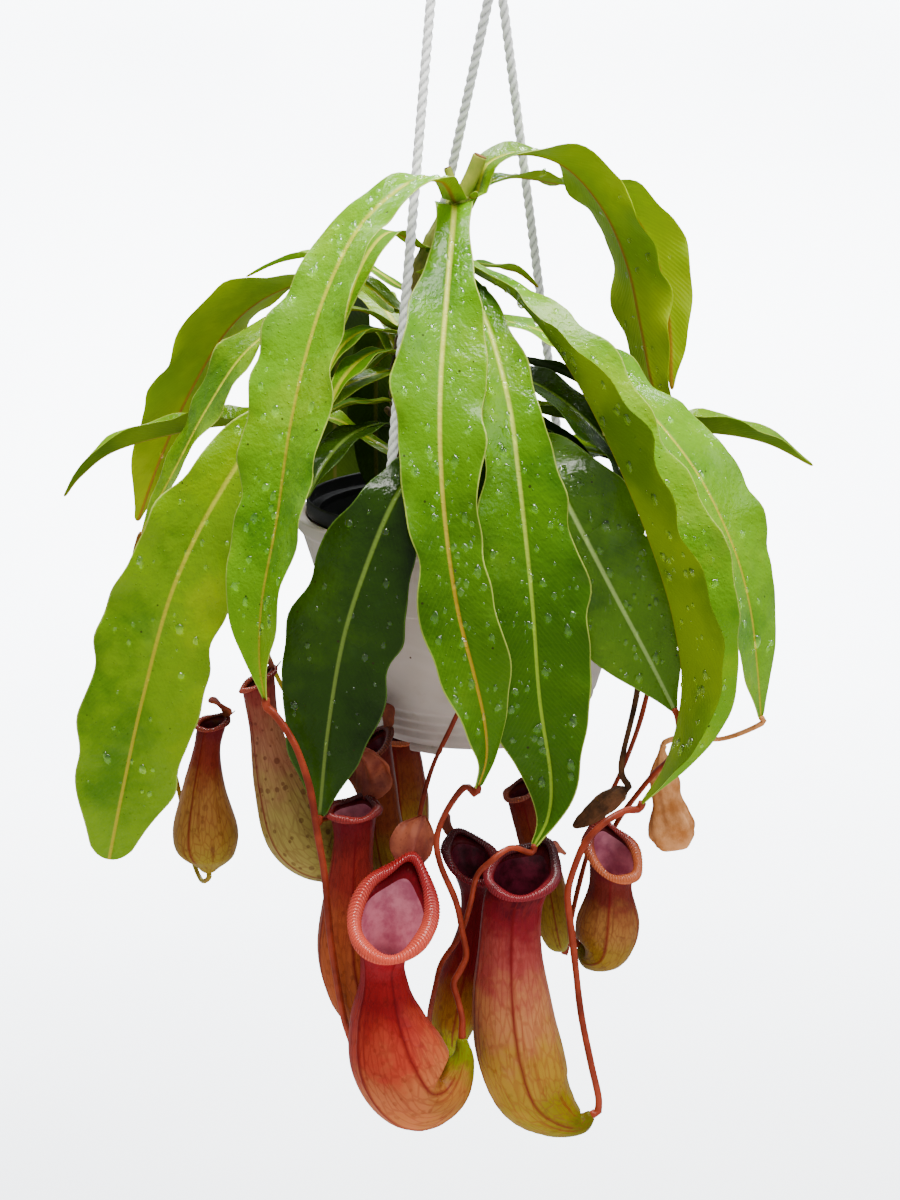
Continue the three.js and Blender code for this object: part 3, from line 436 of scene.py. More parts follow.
def pitcher_skin(name, stages, vein, veins, speck="#4a1010", specks=0.25):
    """Pitcher wall: a waxy skin that changes colour from neck to heel, with upright veins and blotches."""
    material, tree, at, down, wing = start(name, "down", "wing")
    uv = add(tree, "UVMap", uv_map="UVMap")
    cloudy = add(tree, "TexNoise", at, per(14), 4, 0.6)
    place = add(tree, "Math", down, add(tree, "MapRange", cloudy, 0, 1, -0.15, 0.15))
    ground = add(tree, "ValToRGB", place, stops=stages)
    # Upright veins: streaks some 2.5 mm wide and ten times as long
    stretched = add(tree, "Mapping", uv, Scale=(34, 3.2, 1))
    streaks = add(tree, "TexNoise", stretched, 1, 4, 0.62, Distortion=0.35)
    # A net of finer veins, with meshes about 2 mm wide
    meshes = add(tree, "Mapping", uv, Scale=(40, 22, 1))
    net = add(tree, "TexVoronoi", meshes, 1, Randomness=0.9, feature="DISTANCE_TO_EDGE")
    net = add(tree, "MapRange", net, 0.02, 0.13, 1, 0, **SOFT)
    coats = [(add(tree, "MapRange", streaks, 0.52, 0.68, 0, veins, **SOFT), vein),
             (add(tree, "Math", net, 0.55 * veins, **TIMES), vein),
             (speckles(tree, at, 4.2, 0.34, 0.1, specks), speck),
             (add(tree, "Math", wing, 0.85, **TIMES), "#6a0c12")]
    relief = [(net, 0.25, 0.3), (streaks, 0.35, 0.6), (add(tree, "TexNoise", at, per(3), 3), 0.15, 0.4)]
    return finish(material, ground, coats, relief, Specular_IOR_Level=0.08,
                  Roughness=add(tree, "MapRange", cloudy, 0, 1, 0.22, 0.44))


def lip_skin(name, light, dark, ribs):
    """Peristome: hard glossy ribs, each crest painted lighter as a painted highlight."""
    material, tree, at, down = start(name, "down")
    around = add(tree, "SeparateXYZ", add(tree, "UVMap", uv_map="UVMap"))
    crest = add(tree, "Math", add(tree, "Math", around, 2 * math.pi * ribs, **TIMES), operation="COSINE")
    cloudy = add(tree, "TexNoise", at, per(11), 3)
    # Painted highlight on each crest, over a tone that is lighter at the front of the rim and cloudy
    lit = add(tree, "Math", crest, 0.09, add(tree, "Mix", 0.3, down, cloudy), use_clamp=True, **TIMES_PLUS)
    ground = add(tree, "ValToRGB", lit, stops=((0.2, dark), (0.75, light)))
    return finish(material, ground, relief=[(crest, 0.3, 0.35)], Specular_IOR_Level=0.35, Coat_Weight=0.2,
                  Coat_Roughness=0.1, Roughness=add(tree, "MapRange", cloudy, 0, 1, 0.16, 0.34))


def lid_skin(name, light, dark, dots, spotted):
    """Pitcher lid: thin dull skin with paler dots and a dark rib."""
    material, tree, at, across = start(name, "across")
    clouds = add(tree, "TexNoise", at, per(10), 4, 0.6)
    ground = add(tree, "ValToRGB", clouds, stops=((0.32, dark), (0.68, light)))
    aside = add(tree, "Math", across, operation="ABSOLUTE")
    coats = [(speckles(tree, at, 2.2, 0.3, 0.12, spotted), dots),
             (add(tree, "MapRange", aside, 0.4, 1.4, 0.6, 0, **SOFT), dark)]
    grain = add(tree, "TexNoise", at, per(2.5), 3)
    relief = [(grain, 0.3, 0.4), (add(tree, "TexNoise", at, per(8), 2), 0.3, 0.9)]
    return finish(material, ground, coats, relief, Specular_IOR_Level=0.25,
                  Roughness=add(tree, "MapRange", grain, 0, 1, 0.36, 0.56))


def plain_skin(name, light, dark, size, rough, bump, grain=2.0, coat=0.0, strength=0.4, gloss=0.25):
    """A soft blend of two colours, with a grain in its gloss and its surface."""
    material, tree, at = start(name)
    clouds = add(tree, "TexNoise", at, per(size), 4, 0.6)
    ground = add(tree, "ValToRGB", clouds, stops=((0.3, dark), (0.7, light)))
    texture = add(tree, "TexNoise", at, per(grain), 4, 0.6)
    return finish(material, ground, relief=[(texture, strength, bump)], Specular_IOR_Level=gloss,
                  Coat_Weight=coat, Roughness=add(tree, "MapRange", texture, 0, 1, rough - 0.08,
                                                  min(1.0, rough + 0.1)))


def bark(name):
    """Woody vine stem: dry brown bark, cracked along its length, green where it is young."""
    material, tree, at = start(name)
    height = add(tree, "SeparateXYZ", at).outputs["Z"]
    fibres = add(tree, "TexNoise", add(tree, "Mapping", at, Scale=(1, 1, 0.22)), per(2.4), 5, 0.65)
    wood = add(tree, "ValToRGB", fibres, stops=((0.3, "#3d2a18"), (0.5, "#6b4a2c"), (0.72, "#9a7c50")))
    clouds = add(tree, "TexNoise", at, per(8), 3)
    fresh = add(tree, "ValToRGB", clouds, stops=((0.35, "#7d8f2c"), (0.65, "#b7b850")))
    young = add(tree, "MapRange", height, *(spot((0, 0, z)).z for z in (95, 140)))
    relief = [(fibres, 0.6, 0.8), (add(tree, "TexNoise", at, per(1.2), 3), 0.25, 0.4)]
    return finish(material, wood, [(young, fresh)], relief, Roughness=0.68)


def moulded_plastic(name):
    """Injection-moulded white polypropylene, greyed by painted shade: satin, flow marks, fine scuffs, a
    little dirt.
    """
    material, tree, at = start(name)
    flow = add(tree, "TexNoise", add(tree, "Mapping", at, Scale=(1, 1, 3)), per(60), 3, Distortion=1.2)
    # Painted shade: the white is painted greyer and warmer than the pot is, for the shade of the leaves over
    # it
    ground = add(tree, "ValToRGB", flow, stops=((0.3, "#cfc0b8"), (0.7, "#dccfc8")))
    height = add(tree, "SeparateXYZ", at).outputs["Z"]
    # Darker and browner towards the foot, in cloudy patches
    low = add(tree, "MapRange", height, *(spot((0, 0, z)).z for z in (POT["bottom"], -80)), 0.56, 0.06)
    darker_towards_foot = add(tree, "MapRange", add(tree, "TexNoise", at, per(12), 6, 0.7), 0.5, 0.72, 0, low, **SOFT)
    scuffs = add(tree, "TexNoise", at, per(1.5), 5, 0.7)
    # Specks of compost splashed on the wall
    splashes = speckles(tree, at, 15, 0.06, 0.005, 1)
    return finish(material, ground, [(darker_towards_foot, "#a79278"), (splashes, "#5b3f28")],
                  [(flow, 0.12, 1.2), (scuffs, 0.06, 0.2)], Subsurface_Weight=0.05, Subsurface_Scale=0.004,
                  Roughness=add(tree, "MapRange", scuffs, 0, 1, 0.3, 0.46))


def twisted_fibre(name):
    """White polyester rope: bright filaments that follow each twisted strand, with painted shade in the
    hollows.
    """
    material, tree, _, hollow_shade = start(name, "hollow_shade")
    # Filaments about 0.4 mm apart, drawn as coarse as the render can show
    uv = add(tree, "UVMap", uv_map="UVMap")
    leaning = add(tree, "Mapping", uv, Rotation=(0, 0, 0.55), Scale=(26, 300, 1))
    threads = add(tree, "TexNoise", leaning, 1, 3)
    fibre = add(tree, "ValToRGB", threads, stops=((0.3, "#fafaf6"), (0.7, "#ffffff")))
    # Painted shade: the hollows between the strands are painted grey
    ground = add(tree, "Mix", add(tree, "Math", hollow_shade, 0.9, **TIMES), fibre, "#7c807c", **COLOURS)
    # Painted light: a faint glow stands in for light that the thin filaments pass on from the pale room
    # behind them
    return finish(material, ground, relief=[(threads, 0.5, 0.35)], Roughness=0.62, Sheen_Weight=0.7,
                  Emission_Color=ground, Emission_Strength=0.35)


def water(name):
    """Drops of water left by misting: clear, with painted shade in the upper half and painted light below."""
    material, tree, at, lower = start(name, "lower")
    # Painted shade at the top of each drop and painted light at its bottom, standing in for how a lens bends
    # light
    lens = add(tree, "ValToRGB", lower, stops=((0.05, "#8aa060"), (0.4, "#e0e8cc"), (0.7, "#ffffff")))
    ripple = add(tree, "MapRange", add(tree, "TexNoise", at, per(3), 1), 0, 1, 0.01, 0.04)
    return finish(material, lens, Roughness=ripple, IOR=1.33, Transmission_Weight=1, Specular_IOR_Level=0.9,
                  Coat_Weight=1, Coat_Roughness=0.02)


# Leaf tops: young, full-grown and deep green, mixed in clouds. Lighter copies for the crown are painted
# light, darker ones painted shade
LEAF_TOP = leaf_skin("live_leaf_upper", "#8caa00", "#6e9600", "#487400")
# The two front leaves get painted shade on their lower parts from their low colour
LEAF_GOLD = leaf_skin("golden_ribbed_leaf_upper", "#7eaa00", "#5e9400", "#3c7000", rib="#dcdc50",
                      old_rib="#b08a1c", low="#345600")
LEAF_DEEP = leaf_skin("grown_leaf_upper", "#74a200", "#568a00", "#386800", rib="#ccd650", old_rib="#94b428",
                      low="#244600")
LEAF_WET = leaf_skin("wet_leaf_upper", "#8ab008", "#689c02", "#447c00", sheen="#b4d070", gloss=0.2, rough=0.2,
                     coat=0.06)
# Painted shade: a copy painted darker for the leaf that hangs in half shade
LEAF_HALF_SHADE = leaf_skin("painted_half_shade_leaf_upper", "#6a8e0c", "#507804", "#365a00", rib="#b0ca70",
                            old_rib="#9cba66", edge="#84a040", sheen="#8cb488", rough=0.2, gloss=0.3,
                            coat=0.15)
# Painted light: a copy painted lighter for the leaves of the lit crown
LEAF_LIT_CROWN = leaf_skin("lit_crown_leaf_upper", "#8ab808", "#6aa200", "#4c8400", sheen="#b4cf70")
# Painted shade: a copy painted darker still for the leaves that hang in shade
LEAF_SHADE = leaf_skin("painted_shade_leaf_upper", "#345206", "#223c02", "#142800", rib="#75903a", old_rib="#6f8434",
                       edge="#55742a", sheen="#5c8450", rough=0.22, coat=0.12)
LEAF_INNER = leaf_skin("inner_leaf_upper", "#7ca800", "#5a8c00", "#3a6a00", sheen="#86a840", rough=0.5,
                       gloss=0.04, coat=0)
# Undersides: yellower than the tops where light comes through, with a brown midrib
LEAF_UNDER = leaf_back("live_leaf_underside", "#b0c808", "#88aa02", rib="#b8762a")
# Painted shade: darker copies of the underside, for folded leaves and for leaves that hang in shade or behind
# the stem
LEAF_UNDER_HALF_SHADE = leaf_back("painted_shade_folded_leaf_underside", "#7c9a06", "#567800", rib="#a89630")
LEAF_UNDER_SHADE = leaf_back("painted_shade_leaf_underside", "#3c5408", "#263c04", rib="#5f5c20")


# Camera, at the photograph's place

def stood(name, data, place, aim):
    """A camera or a lamp at its place, turned towards its aim."""
    made = bpy.data.objects.new(name, data)
    made.location = place
    made.rotation_euler = (Vector(aim) - Vector(place)).to_track_quat("-Z", "Y").to_euler()
    bpy.context.scene.collection.objects.link(made)
    return made


view = bpy.data.cameras.new("camera")
view.lens = 64.7
bpy.context.scene.camera = stood("camera", view, (-0.01275, -1.0673, -0.1039), (-0.01275, 0, -0.37019))


# Ropes

ROPE_FIBRE = twisted_fibre("twisted_polyester_rope")


def rope_ends(number):
    """Middles of a rope's two knots, under the pot's lug and on the hook's foot."""
    low = flat_direction(ROPE["hole_angles"][number]) * ROPE["hole_radius"] + UP * (POT["top"] - POT["lug"])
    high = flat_direction(EYE["angles"][number]) * EYE["radius"] + UP * EYE["height"]
    line = (high - low).normalized()
    reach = KNOT["radius"] * KNOT["squash"] + GAP + KNOT["clear"]
    return low - line * (reach / line.z), high + line * ((EYE["thickness"] / 2 + reach) / line.z)


def rope_knot(centre, line, turn):
    """An overhand knot pulled tight: a trefoil of the same three strands."""
    def strand(angle, s):
        return abs(math.cos(1.5 * (angle - 40 * s)))
    spin = line.to_track_quat("Z", "X").to_matrix() @ Matrix.Rotation(turn, 3, "Z")
    loop = []
    for i in range(25):
        t = 2 * math.pi * i / 24
        wide = 3.1 + 1.5 * math.cos(3 * t)
        point = Vector((wide * math.cos(2 * t), wide * math.sin(2 * t), 1.9 * math.sin(3 * t)))
        loop.append(centre + spin @ point)
    return tube(Route(loop), 1.9, columns=18, step=0.8, form=lambda angle, s: 0.8 + 0.2 * strand(angle, s),
                facts=lambda angle, s: dict(hollow_shade=1 - strand(angle, s)))


def make_rope(name, number):
    low, high = rope_ends(number)
    line = (high - low).normalized()
    route = Route([low + (high - low) * (i / 8) for i in range(9)])

    def strand(angle, s):
        return abs(math.cos(1.5 * (angle - 2 * math.pi * s * route.length / ROPE["lay"])))
    mesh = tube(route, ROPE["diameter"] / 2, columns=30, step=1.5, cap=1.5, front=(0, 1, 0.1),
                form=lambda angle, s: 0.56 + 0.44 * strand(angle, s) ** 0.7,
                facts=lambda angle, s: dict(hollow_shade=(1 - strand(angle, s)) ** 1.2))
    rope = piece(name, mesh, [ROPE_FIBRE], name, "rope")
    knots = joined(rope_knot(low, line, number), rope_knot(high, line, number + 2))
    knots = piece(name.replace("rope", "rope_knots"), knots, [ROPE_FIBRE], None, "rope")


for number, name in enumerate(("rope_front_left", "rope_back_right", "rope_back_left")):
    make_rope(name, number)


# Leaves

STRAP = [0.34, 0.42, 0.66, 0.88, 1, 0.97, 0.82, 0.55, 0.06]
SMALL_STRAP = [0.5, 0.6, 0.85, 1, 0.8, 0.45, 0.08]
OVATE = [0.35, 0.8, 1, 0.85, 0.2]

LEAVES = dict(
    front_centre=dict(height=143, face=-88, half=22, wave=3.5, waves=3.5, phase=1,
        points=[[-11, -24, 139], [-14, -54, 108], [-17, -82, 69], [-17, -99, 35], [-14, -109, 0],
        [-9, -116, -32], [-2, -118, -60], [3, -116, -84], [4, -112, -103], [0, -109, -119]],
        outline=[0.42, 0.42, 0.8, 1, 0.86, 0.7, 0.82, 0.6, 0.14], fold=[10, 14, 6, 10], roll=[0, 0, 5, -50]),
    front_left=dict(height=146, face=-104, half=23, wave=3, waves=2.5, phase=0,
        points=[[-14, -26, 154], [-19, -43, 158], [-33, -55, 156], [-53, -66, 139], [-67, -79, 114],
        [-77, -92, 85], [-85, -104, 50], [-91, -112, 10], [-98, -116, -26], [-100, -114, -55],
        [-98, -110, -76]], outline=[0.26, 0.3, 0.55, 0.8, 0.95, 1, 0.97, 0.72, 0.06], fold=[8, 16, 18, 20],
        roll=[0, 12, 22, 34]),
    low_left=dict(height=62, face=-84, half=28, wave=3, waves=2, phase=2,
        points=[[-66, -30, 58], [-99, -48, 42], [-123, -60, 11], [-145, -67, -33], [-161, -70, -87],
        [-173, -66, -135], [-182, -60, -173]], outline=[0.25, 0.3, 0.45, 0.7, 0.9, 1, 0.97, 0.82, 0.3],
        fold=[10, 8, 6, 4]),
    dark_left=dict(height=26, face=-96, half=26, wave=2.5, waves=2, phase=4, dark=True,
        points=[[-20, -42, 34], [-27, -76, 28], [-38, -93, 16], [-50, -99, -11], [-62, -101, -48],
        [-70, -99, -93], [-75, -95, -138]], outline=[0.2, 0.22, 0.3, 0.55, 0.85, 1, 0.95, 0.66, 0.12],
        fold=[10, 8, 4, 4]),
    front_right=dict(height=110, face=-82, half=26, wave=2.5, waves=2, phase=3,
        points=[[-12, -22, 113], [3, -48, 95], [14, -77, 60], [19, -91, 25], [25, -101, -29],
        [29, -101, -77], [35, -97, -117], [34, -96, -138], [27, -101, -151]],
        outline=[0.24, 0.28, 0.42, 0.6, 0.84, 1, 0.92, 0.6, 0.08], fold=[10, 14, 8, 6],
        roll=[0, 0, 0, 0, 50]),
    dark_right=dict(height=30, face=-86, half=29, wave=2.5, waves=2, phase=1, dark=True,
        points=[[-4, -34, 36], [20, -60, 31], [36, -74, 20], [50, -83, -4], [67, -86, -36], [82, -87, -64],
        [94, -86, -88]], outline=[0.2, 0.24, 0.42, 0.7, 0.92, 1, 0.96, 0.62, 0.06], fold=[6, 4, 0, 0]),
    folded_right=dict(height=121, face=-25, half=31, wave=3.5, waves=3, phase=0,
        points=[[1, -28, 113], [18, -48, 104], [35, -64, 85], [50, -76, 62], [66, -86, 30], [81, -92, -6],
        [92, -94, -41], [97, -92, -76], [91, -90, -111], [79, -88, -134]],
        outline=[0.24, 0.3, 0.5, 0.75, 0.95, 1, 1.02, 0.9, 0.08], fold=[10, 40, 60, 56, 22]),
    far_right=dict(height=86, face=-38, half=26, wave=3, waves=2.5, phase=2,
        points=[[8, -5, 88], [40, -20, 80], [76, -38, 54], [104, -46, 22], [123, -50, -14], [133, -50, -46],
        [138, -48, -78], [141, -46, -104]], outline=[0.24, 0.32, 0.56, 0.8, 0.98, 1, 0.94, 0.72, 0.1],
        fold=[10, 14, 10, 6]),
    arched_right=dict(height=148, face=38, half=21, wave=3.5, waves=3, phase=2,
        points=[[6, 3, 163], [24, 7, 168], [45, 12, 161], [64, 20, 140], [77, 27, 112], [85, 29, 79],
        [92, 28, 48], [103, 25, 24]], outline=[0.4, 0.6, 0.8, 0.95, 1, 0.97, 0.82, 0.55, 0.06],
        fold=[10, 14, 10, 8]),
    arched_back=dict(height=140, face=62, half=17, wave=2.5, waves=2, phase=5,
        points=[[0, 12, 150], [16, 18, 156], [28, 28, 155], [42, 41, 152], [68, 51, 148], [90, 55, 122],
        [101, 58, 84], [104, 59, 44]], outline=[0.3, 0.3, 0.34, 0.62, 0.95, 1, 0.86, 0.55, 0.06],
        fold=[8, 12, 8, 4]),
    small_right=dict(height=58, face=-12, half=14, wave=1, waves=2, phase=0,
        points=[[-2, -4, 52], [40, -12, 42], [80, -12, 34], [116, -8, 33], [145, -3, 27], [170, 2, 14]],
        outline=[0.3, 0.4, 0.5, 0.7, 0.95, 1, 0.9, 0.6, 0.08], fold=[10, 40, 50, 40]),
    broad_left=dict(height=92, face=140, half=27, wave=2.5, waves=2, phase=1,
        points=[[-62, 8, 107], [-95, 18, 102], [-123, 26, 83], [-146, 31, 48], [-163, 31, 12],
        [-175, 28, -20]], outline=[0.28, 0.34, 0.6, 0.9, 1, 0.98, 0.85, 0.55, 0.08], fold=[8, 12, 8, 6]),
    small_left=dict(height=70, face=180, half=13, wave=1.2, waves=2, phase=3,
        points=[[-73, -3, 46], [-108, -2, 38], [-144, -2, 33], [-180, -2, 23], [-198, -2, 10],
        [-207, -2, -1]], outline=[0.3, 0.34, 0.45, 0.6, 0.85, 1, 0.9, 0.6, 0.08], fold=[10, 36, 42, 34]),
    narrow_left=dict(height=84, face=-150, half=16, wave=2.5, waves=2, phase=2,
        points=[[-58, -8, 94], [-88, -16, 90], [-112, -22, 74], [-131, -26, 47], [-147, -28, 18],
        [-165, -28, -15]], fold=[8, 12, 10, 8]),
    top_left=dict(height=103, face=150, half=9, wave=1, phase=1,
        points=[[-52, 8, 112], [-73, 14, 118], [-96, 22, 115], [-116, 30, 106]], outline=SMALL_STRAP),
    inner_left_1=dict(height=124, face=-130, half=10, wave=1, phase=2,
        points=[[-38, -10, 131], [-47, -19, 128], [-57, -28, 112], [-65, -34, 86]], outline=SMALL_STRAP),
    inner_left_2=dict(height=82, face=-140, half=9, wave=1, phase=3,
        points=[[-47, -10, 84], [-57, -19, 83], [-66, -27, 76], [-73, -33, 63]], outline=SMALL_STRAP),
    inner_left_3=dict(height=72, face=-120, half=8, wave=1, phase=4,
        points=[[-47, -14, 74], [-56, -26, 71], [-65, -36, 62], [-71, -44, 50]], outline=SMALL_STRAP),
    inner_left_4=dict(height=36, face=-125, half=11, wave=1, phase=1,
        points=[[-50, -19, 38], [-62, -38, 35], [-72, -56, 26], [-80, -70, 12]], outline=SMALL_STRAP,
        dark=True),
    inner_left_5=dict(height=48, face=-160, half=7, wave=0.8, phase=2,
        points=[[-50, -8, 48], [-61, -18, 49], [-74, -28, 44], [-84, -36, 34]], outline=SMALL_STRAP),
    inner_right_1=dict(height=66, face=-42, half=16, wave=1.5, phase=0, dark=True,
        points=[[-16, -8, 65], [10, -18, 65], [40, -29, 53], [68, -42, 26], [87, -52, -14]]),
    inner_right_2=dict(height=48, face=-30, half=8, wave=1, phase=3, dark=True,
        points=[[-13, -12, 48], [14, -26, 45], [41, -43, 33], [63, -60, 8], [76, -68, -24]],
        fold=[10, 30, 30]),
    inner_right_3=dict(height=112, face=50, half=8, wave=1, phase=2,
        points=[[-10, 7, 113], [6, 14, 113], [20, 20, 110], [32, 25, 101]], outline=SMALL_STRAP),
    inner_right_4=dict(height=70, face=30, half=13, wave=1.5, phase=1, dark=True,
        points=[[-18, 4, 74], [16, 9, 68], [46, 15, 58], [74, 22, 38], [94, 28, 2]]),
    behind_centre=dict(height=34, face=-86, half=12, wave=1, phase=0, dark=True,
        points=[[-24, -16, 38], [-18, -36, 40], [-8, -66, 34], [-4, -82, 20], [-1, -92, -2], [4, -91, -36]]))

BACK_LEAVES = [
    dict(height=80, heading=112, reach=112, rise=16, drop=150, half=20, phase=0),
    dict(height=70, heading=112, reach=40, rise=9, drop=82, half=14, phase=2),
    dict(height=24, heading=54, reach=117, rise=7, drop=116, half=17, phase=4),
    dict(height=44, heading=72, reach=104, rise=8, drop=130, half=17, phase=1),
    dict(height=20, heading=146, reach=104, rise=14, drop=104, half=17, phase=3),
    dict(height=12, heading=-6, reach=142, rise=14, drop=84, half=17, phase=5)]

PITCHERS = dict(
    front_left=dict(front=-100, tilt=0.9, lip=4, wing=0.8, peak=0.42,
        line=[[-39, -127, -174, 16.5], [-44, -126, -196, 10.5], [-44, -125, -211, 11.5],
        [-43, -125, -228, 17], [-38, -125, -247, 22], [-28, -125, -263, 21], [-15, -123, -264, 13],
        [-7, -121, -252, 6], [-7, -119, -241, 2.5]],
        lid=dict(length=28, half=12, pitch=112, curl=-8, fold=[35], roll=[20],
        outline=[0.42, 0.8, 1.05, 1.0, 0.5], crimp=1.6, wave=1.8, waves=1.2, pleat=0.8)),
    front_right=dict(front=-125, tilt=0.58, lip=3, wing=0.8, peak=0.3,
        line=[[22, -100, -164, 14.5], [17, -100, -181, 13.8], [16, -100, -204, 15], [17, -100, -230, 18.5],
        [21, -100, -256, 20.5], [28, -100, -277, 18.5], [40, -100, -290, 12], [51, -100, -295, 6],
        [57, -100, -291, 2.5]], lid=dict(length=20, half=8, pitch=150, curl=-40, fold=[30])),
    centre_left=dict(front=-118, tilt=0.12, lip=2.4, wing=0.6, peak=0.16,
        line=[[-59, -90, -136, 11], [-59, -90, -149, 9.3], [-60, -90, -164, 10], [-61, -89, -183, 13],
        [-61, -88, -207, 16], [-58, -88, -228, 15], [-55, -88, -245, 9.5], [-57, -91, -254, 4],
        [-59, -94, -256, 2.5]],
        lid=dict(length=28, half=14, pitch=86, curl=8, fold=[26], outline=[0.5, 0.95, 1.0, 1.12, 0.85],
        crimp=2.2, wave=2.6, waves=1.4, pleat=1.9)),
    small_left=dict(front=-150, tilt=0.45, lip=1.6, wing=0.5,
        line=[[-131, -40, -108, 6.8], [-134, -40, -122, 6.4], [-136, -40, -143, 10.5],
        [-136, -40, -165, 16], [-135, -40, -178, 13], [-135, -41, -187, 3]],
        lid=dict(length=15, half=7, pitch=60, curl=25, fold=[20])),
    large_left=dict(front=-170, tilt=0.5, lip=1.8, wing=0.6,
        line=[[-106, -60, -80, 8], [-103, -60, -105, 7.6], [-96, -61, -133, 13], [-86, -62, -156, 18],
        [-73, -63, -166, 16.5], [-62, -63, -163, 10], [-56, -63, -157, 3]],
        lid=dict(length=17, half=8, pitch=70, curl=20, fold=[20]),
        tail=dict(leaf="dark_left", radius=1.6,
        points=[[-58, -67, -149], [-68, -72, -146], [-76, -83, -144]])),
    behind_left=dict(front=-150, tilt=0.6, lip=2.2, wing=0.6,
        line=[[-51, -57, -115, 9.5], [-47, -57, -135, 7.8], [-45, -57, -159, 9.5], [-39, -56, -180, 13.5],
        [-35, -55, -196, 11.5], [-32, -53, -208, 3]],
        lid=dict(length=16, half=8, pitch=95, curl=10, fold=[20])),
    behind_pot=dict(front=-60, tilt=0.4, lip=2, wing=0.6,
        line=[[-41, 6, -128, 10.5], [-39, 4, -146, 12], [-37, 2, -167, 13], [-35, 1, -187, 10],
        [-34, 1, -199, 3]], lid=dict(length=11, half=8, pitch=12, curl=6, fold=[10], spur=((1, 1), (2, 2)))),
    centre=dict(front=-55, tilt=0.8, lip=2.6, wing=0.6,
        line=[[-2, -66, -170, 11.5], [0, -66, -188, 7.4], [-1, -66, -208, 8], [-7, -66, -235, 11.5],
        [-11, -66, -256, 11], [-12, -68, -269, 6.5], [-12, -70, -275, 2.5]],
        lid=dict(length=14, half=4, pitch=150, curl=30, fold=[30])),
    right=dict(front=-60, tilt=0.75, lip=3, wing=0.6, peak=0.25,
        line=[[67, -74, -164, 12], [66, -74, -181, 10.3], [65, -74, -200, 15.2], [63, -74, -213, 13],
        [57, -72, -219, 7], [52, -69, -215, 3]], lid=dict(length=9, half=4, pitch=140, curl=30, fold=[20])),
    behind_right=dict(front=-120, tilt=0.3, lip=1.8, wing=0.5,
        line=[[22, -48, -141, 7], [27, -48, -162, 6.8], [35, -48, -186, 8.5], [39, -48, -207, 9],
        [42, -47, -221, 6.5], [45, -45, -227, 2.5]],
        lid=dict(length=13, half=4, pitch=120, curl=40, fold=[40])))

WITHERED = dict(
    dried=dict(front=-80,
        line=[[99, -52, -171, 7.5], [98, -52, -160, 11.5], [95, -52, -145, 7], [93, -52, -132, 6.5],
        [92, -52, -120, 2], [93, -51, -116, 1.6]], flat=0.6,
        tail=dict(leaf="far_right", radius=1.4, points=[[102, -49, -113], [122, -48, -114]])),
    shrivelled=dict(front=-80,
        line=[[47, -76, -150, 1.5], [53, -76, -146, 4], [61, -76, -139, 5], [69, -76, -133, 4],
        [73, -76, -130, 1.5]], flat=0.8,
        tail=dict(leaf="inner_right_2", radius=1.6,
        points=[[70, -76, -118], [77, -74, -82], [78, -71, -50]])))

TENDRILS = dict(
    front_left=dict(leaf="front_centre", radius=1.7,
        points=[[-6, -107, -119], [-15, -110, -131], [-19, -110, -144], [-17, -108, -158],
        [-10, -107, -176], [-7, -107, -191], [-5, -108, -203], [-8, -111, -210], [-11, -112, -216],
        [-9, -113, -224], [-7, -116, -232]]),
    centre_left=dict(leaf="front_left", radius=1.9,
        points=[[-94, -111, -82], [-88, -113, -90], [-83, -114, -100], [-78, -113, -118], [-75, -112, -140],
        [-72, -111, -161], [-70, -110, -190], [-67, -109, -215], [-64, -105, -237], [-61, -99, -252]]),
    centre=dict(leaf="front_right", radius=1.5,
        points=[[16, -110, -148], [7, -116, -152], [0, -113, -161], [-3, -107, -177], [-6, -102, -190],
        [-10, -100, -200], [-17, -98, -212], [-20, -94, -226], [-23, -86, -248], [-20, -78, -268],
        [-14, -72, -278]]),
    front_right=dict(leaf="folded_right", radius=1.9,
        points=[[71, -92, -136], [61, -97, -140], [52, -99, -149], [47, -99, -161], [44, -98, -173],
        [44, -98, -182], [46, -98, -197], [48, -98, -214], [51, -99, -238], [56, -100, -263],
        [60, -100, -281], [60, -100, -289]]),
    right=dict(leaf="dark_right", radius=1.5,
        points=[[96, -86, -100], [93, -78, -114], [87, -66, -126], [80, -58, -139], [72, -53, -153],
        [66, -50, -167], [61, -50, -182], [55, -54, -200], [51, -62, -211]]),
    behind_right=dict(leaf="inner_right_1", radius=1.4,
        points=[[88, -56, -30], [88, -55, -60], [82, -50, -100], [73, -43, -132], [62, -38, -160],
        [54, -38, -190], [49, -42, -212]]),
    behind_left=dict(leaf="behind_centre", radius=1.3,
        points=[[5, -88, -46], [0, -80, -70], [-12, -72, -100], [-22, -68, -124], [-28, -70, -150],
        [-28, -68, -180], [-28, -66, -206], [-29, -58, -215]]),
    behind_pot=dict(leaf="back_5", radius=1.4,
        points=[[-112, 56, -98], [-98, 54, -126], [-62, 46, -160], [-48, 24, -190], [-38, 8, -204]]),
    small_left=dict(leaf="narrow_left", radius=1.3,
        points=[[-169, -28, -30], [-168, -24, -60], [-160, -20, -110], [-152, -18, -150], [-146, -24, -182],
        [-140, -33, -194]]))

STEM = Route(STEM_LINE)


def stem_at(height):
    low, high = 0.0, 1.0
    for _ in range(40):
        middle = (low + high) / 2
        if STEM.at(middle).z < height:
            low = middle
        else:
            high = middle
    return STEM.at(low)


def leaf_line(leaf):
    """A leaf's midrib, from its seat on the stem to its tip."""
    centre = stem_at(leaf["height"])
    heading = Vector(leaf["points"][0]) - centre
    heading.z = 0
    heading.normalize()
    seat = centre + heading * (STEM_RADIUS - 1)
    lead = centre + heading * (STEM_RADIUS + GAP + 3.3) + UP * 0.8
    return [seat, lead, *(Vector(p) for p in leaf["points"])]


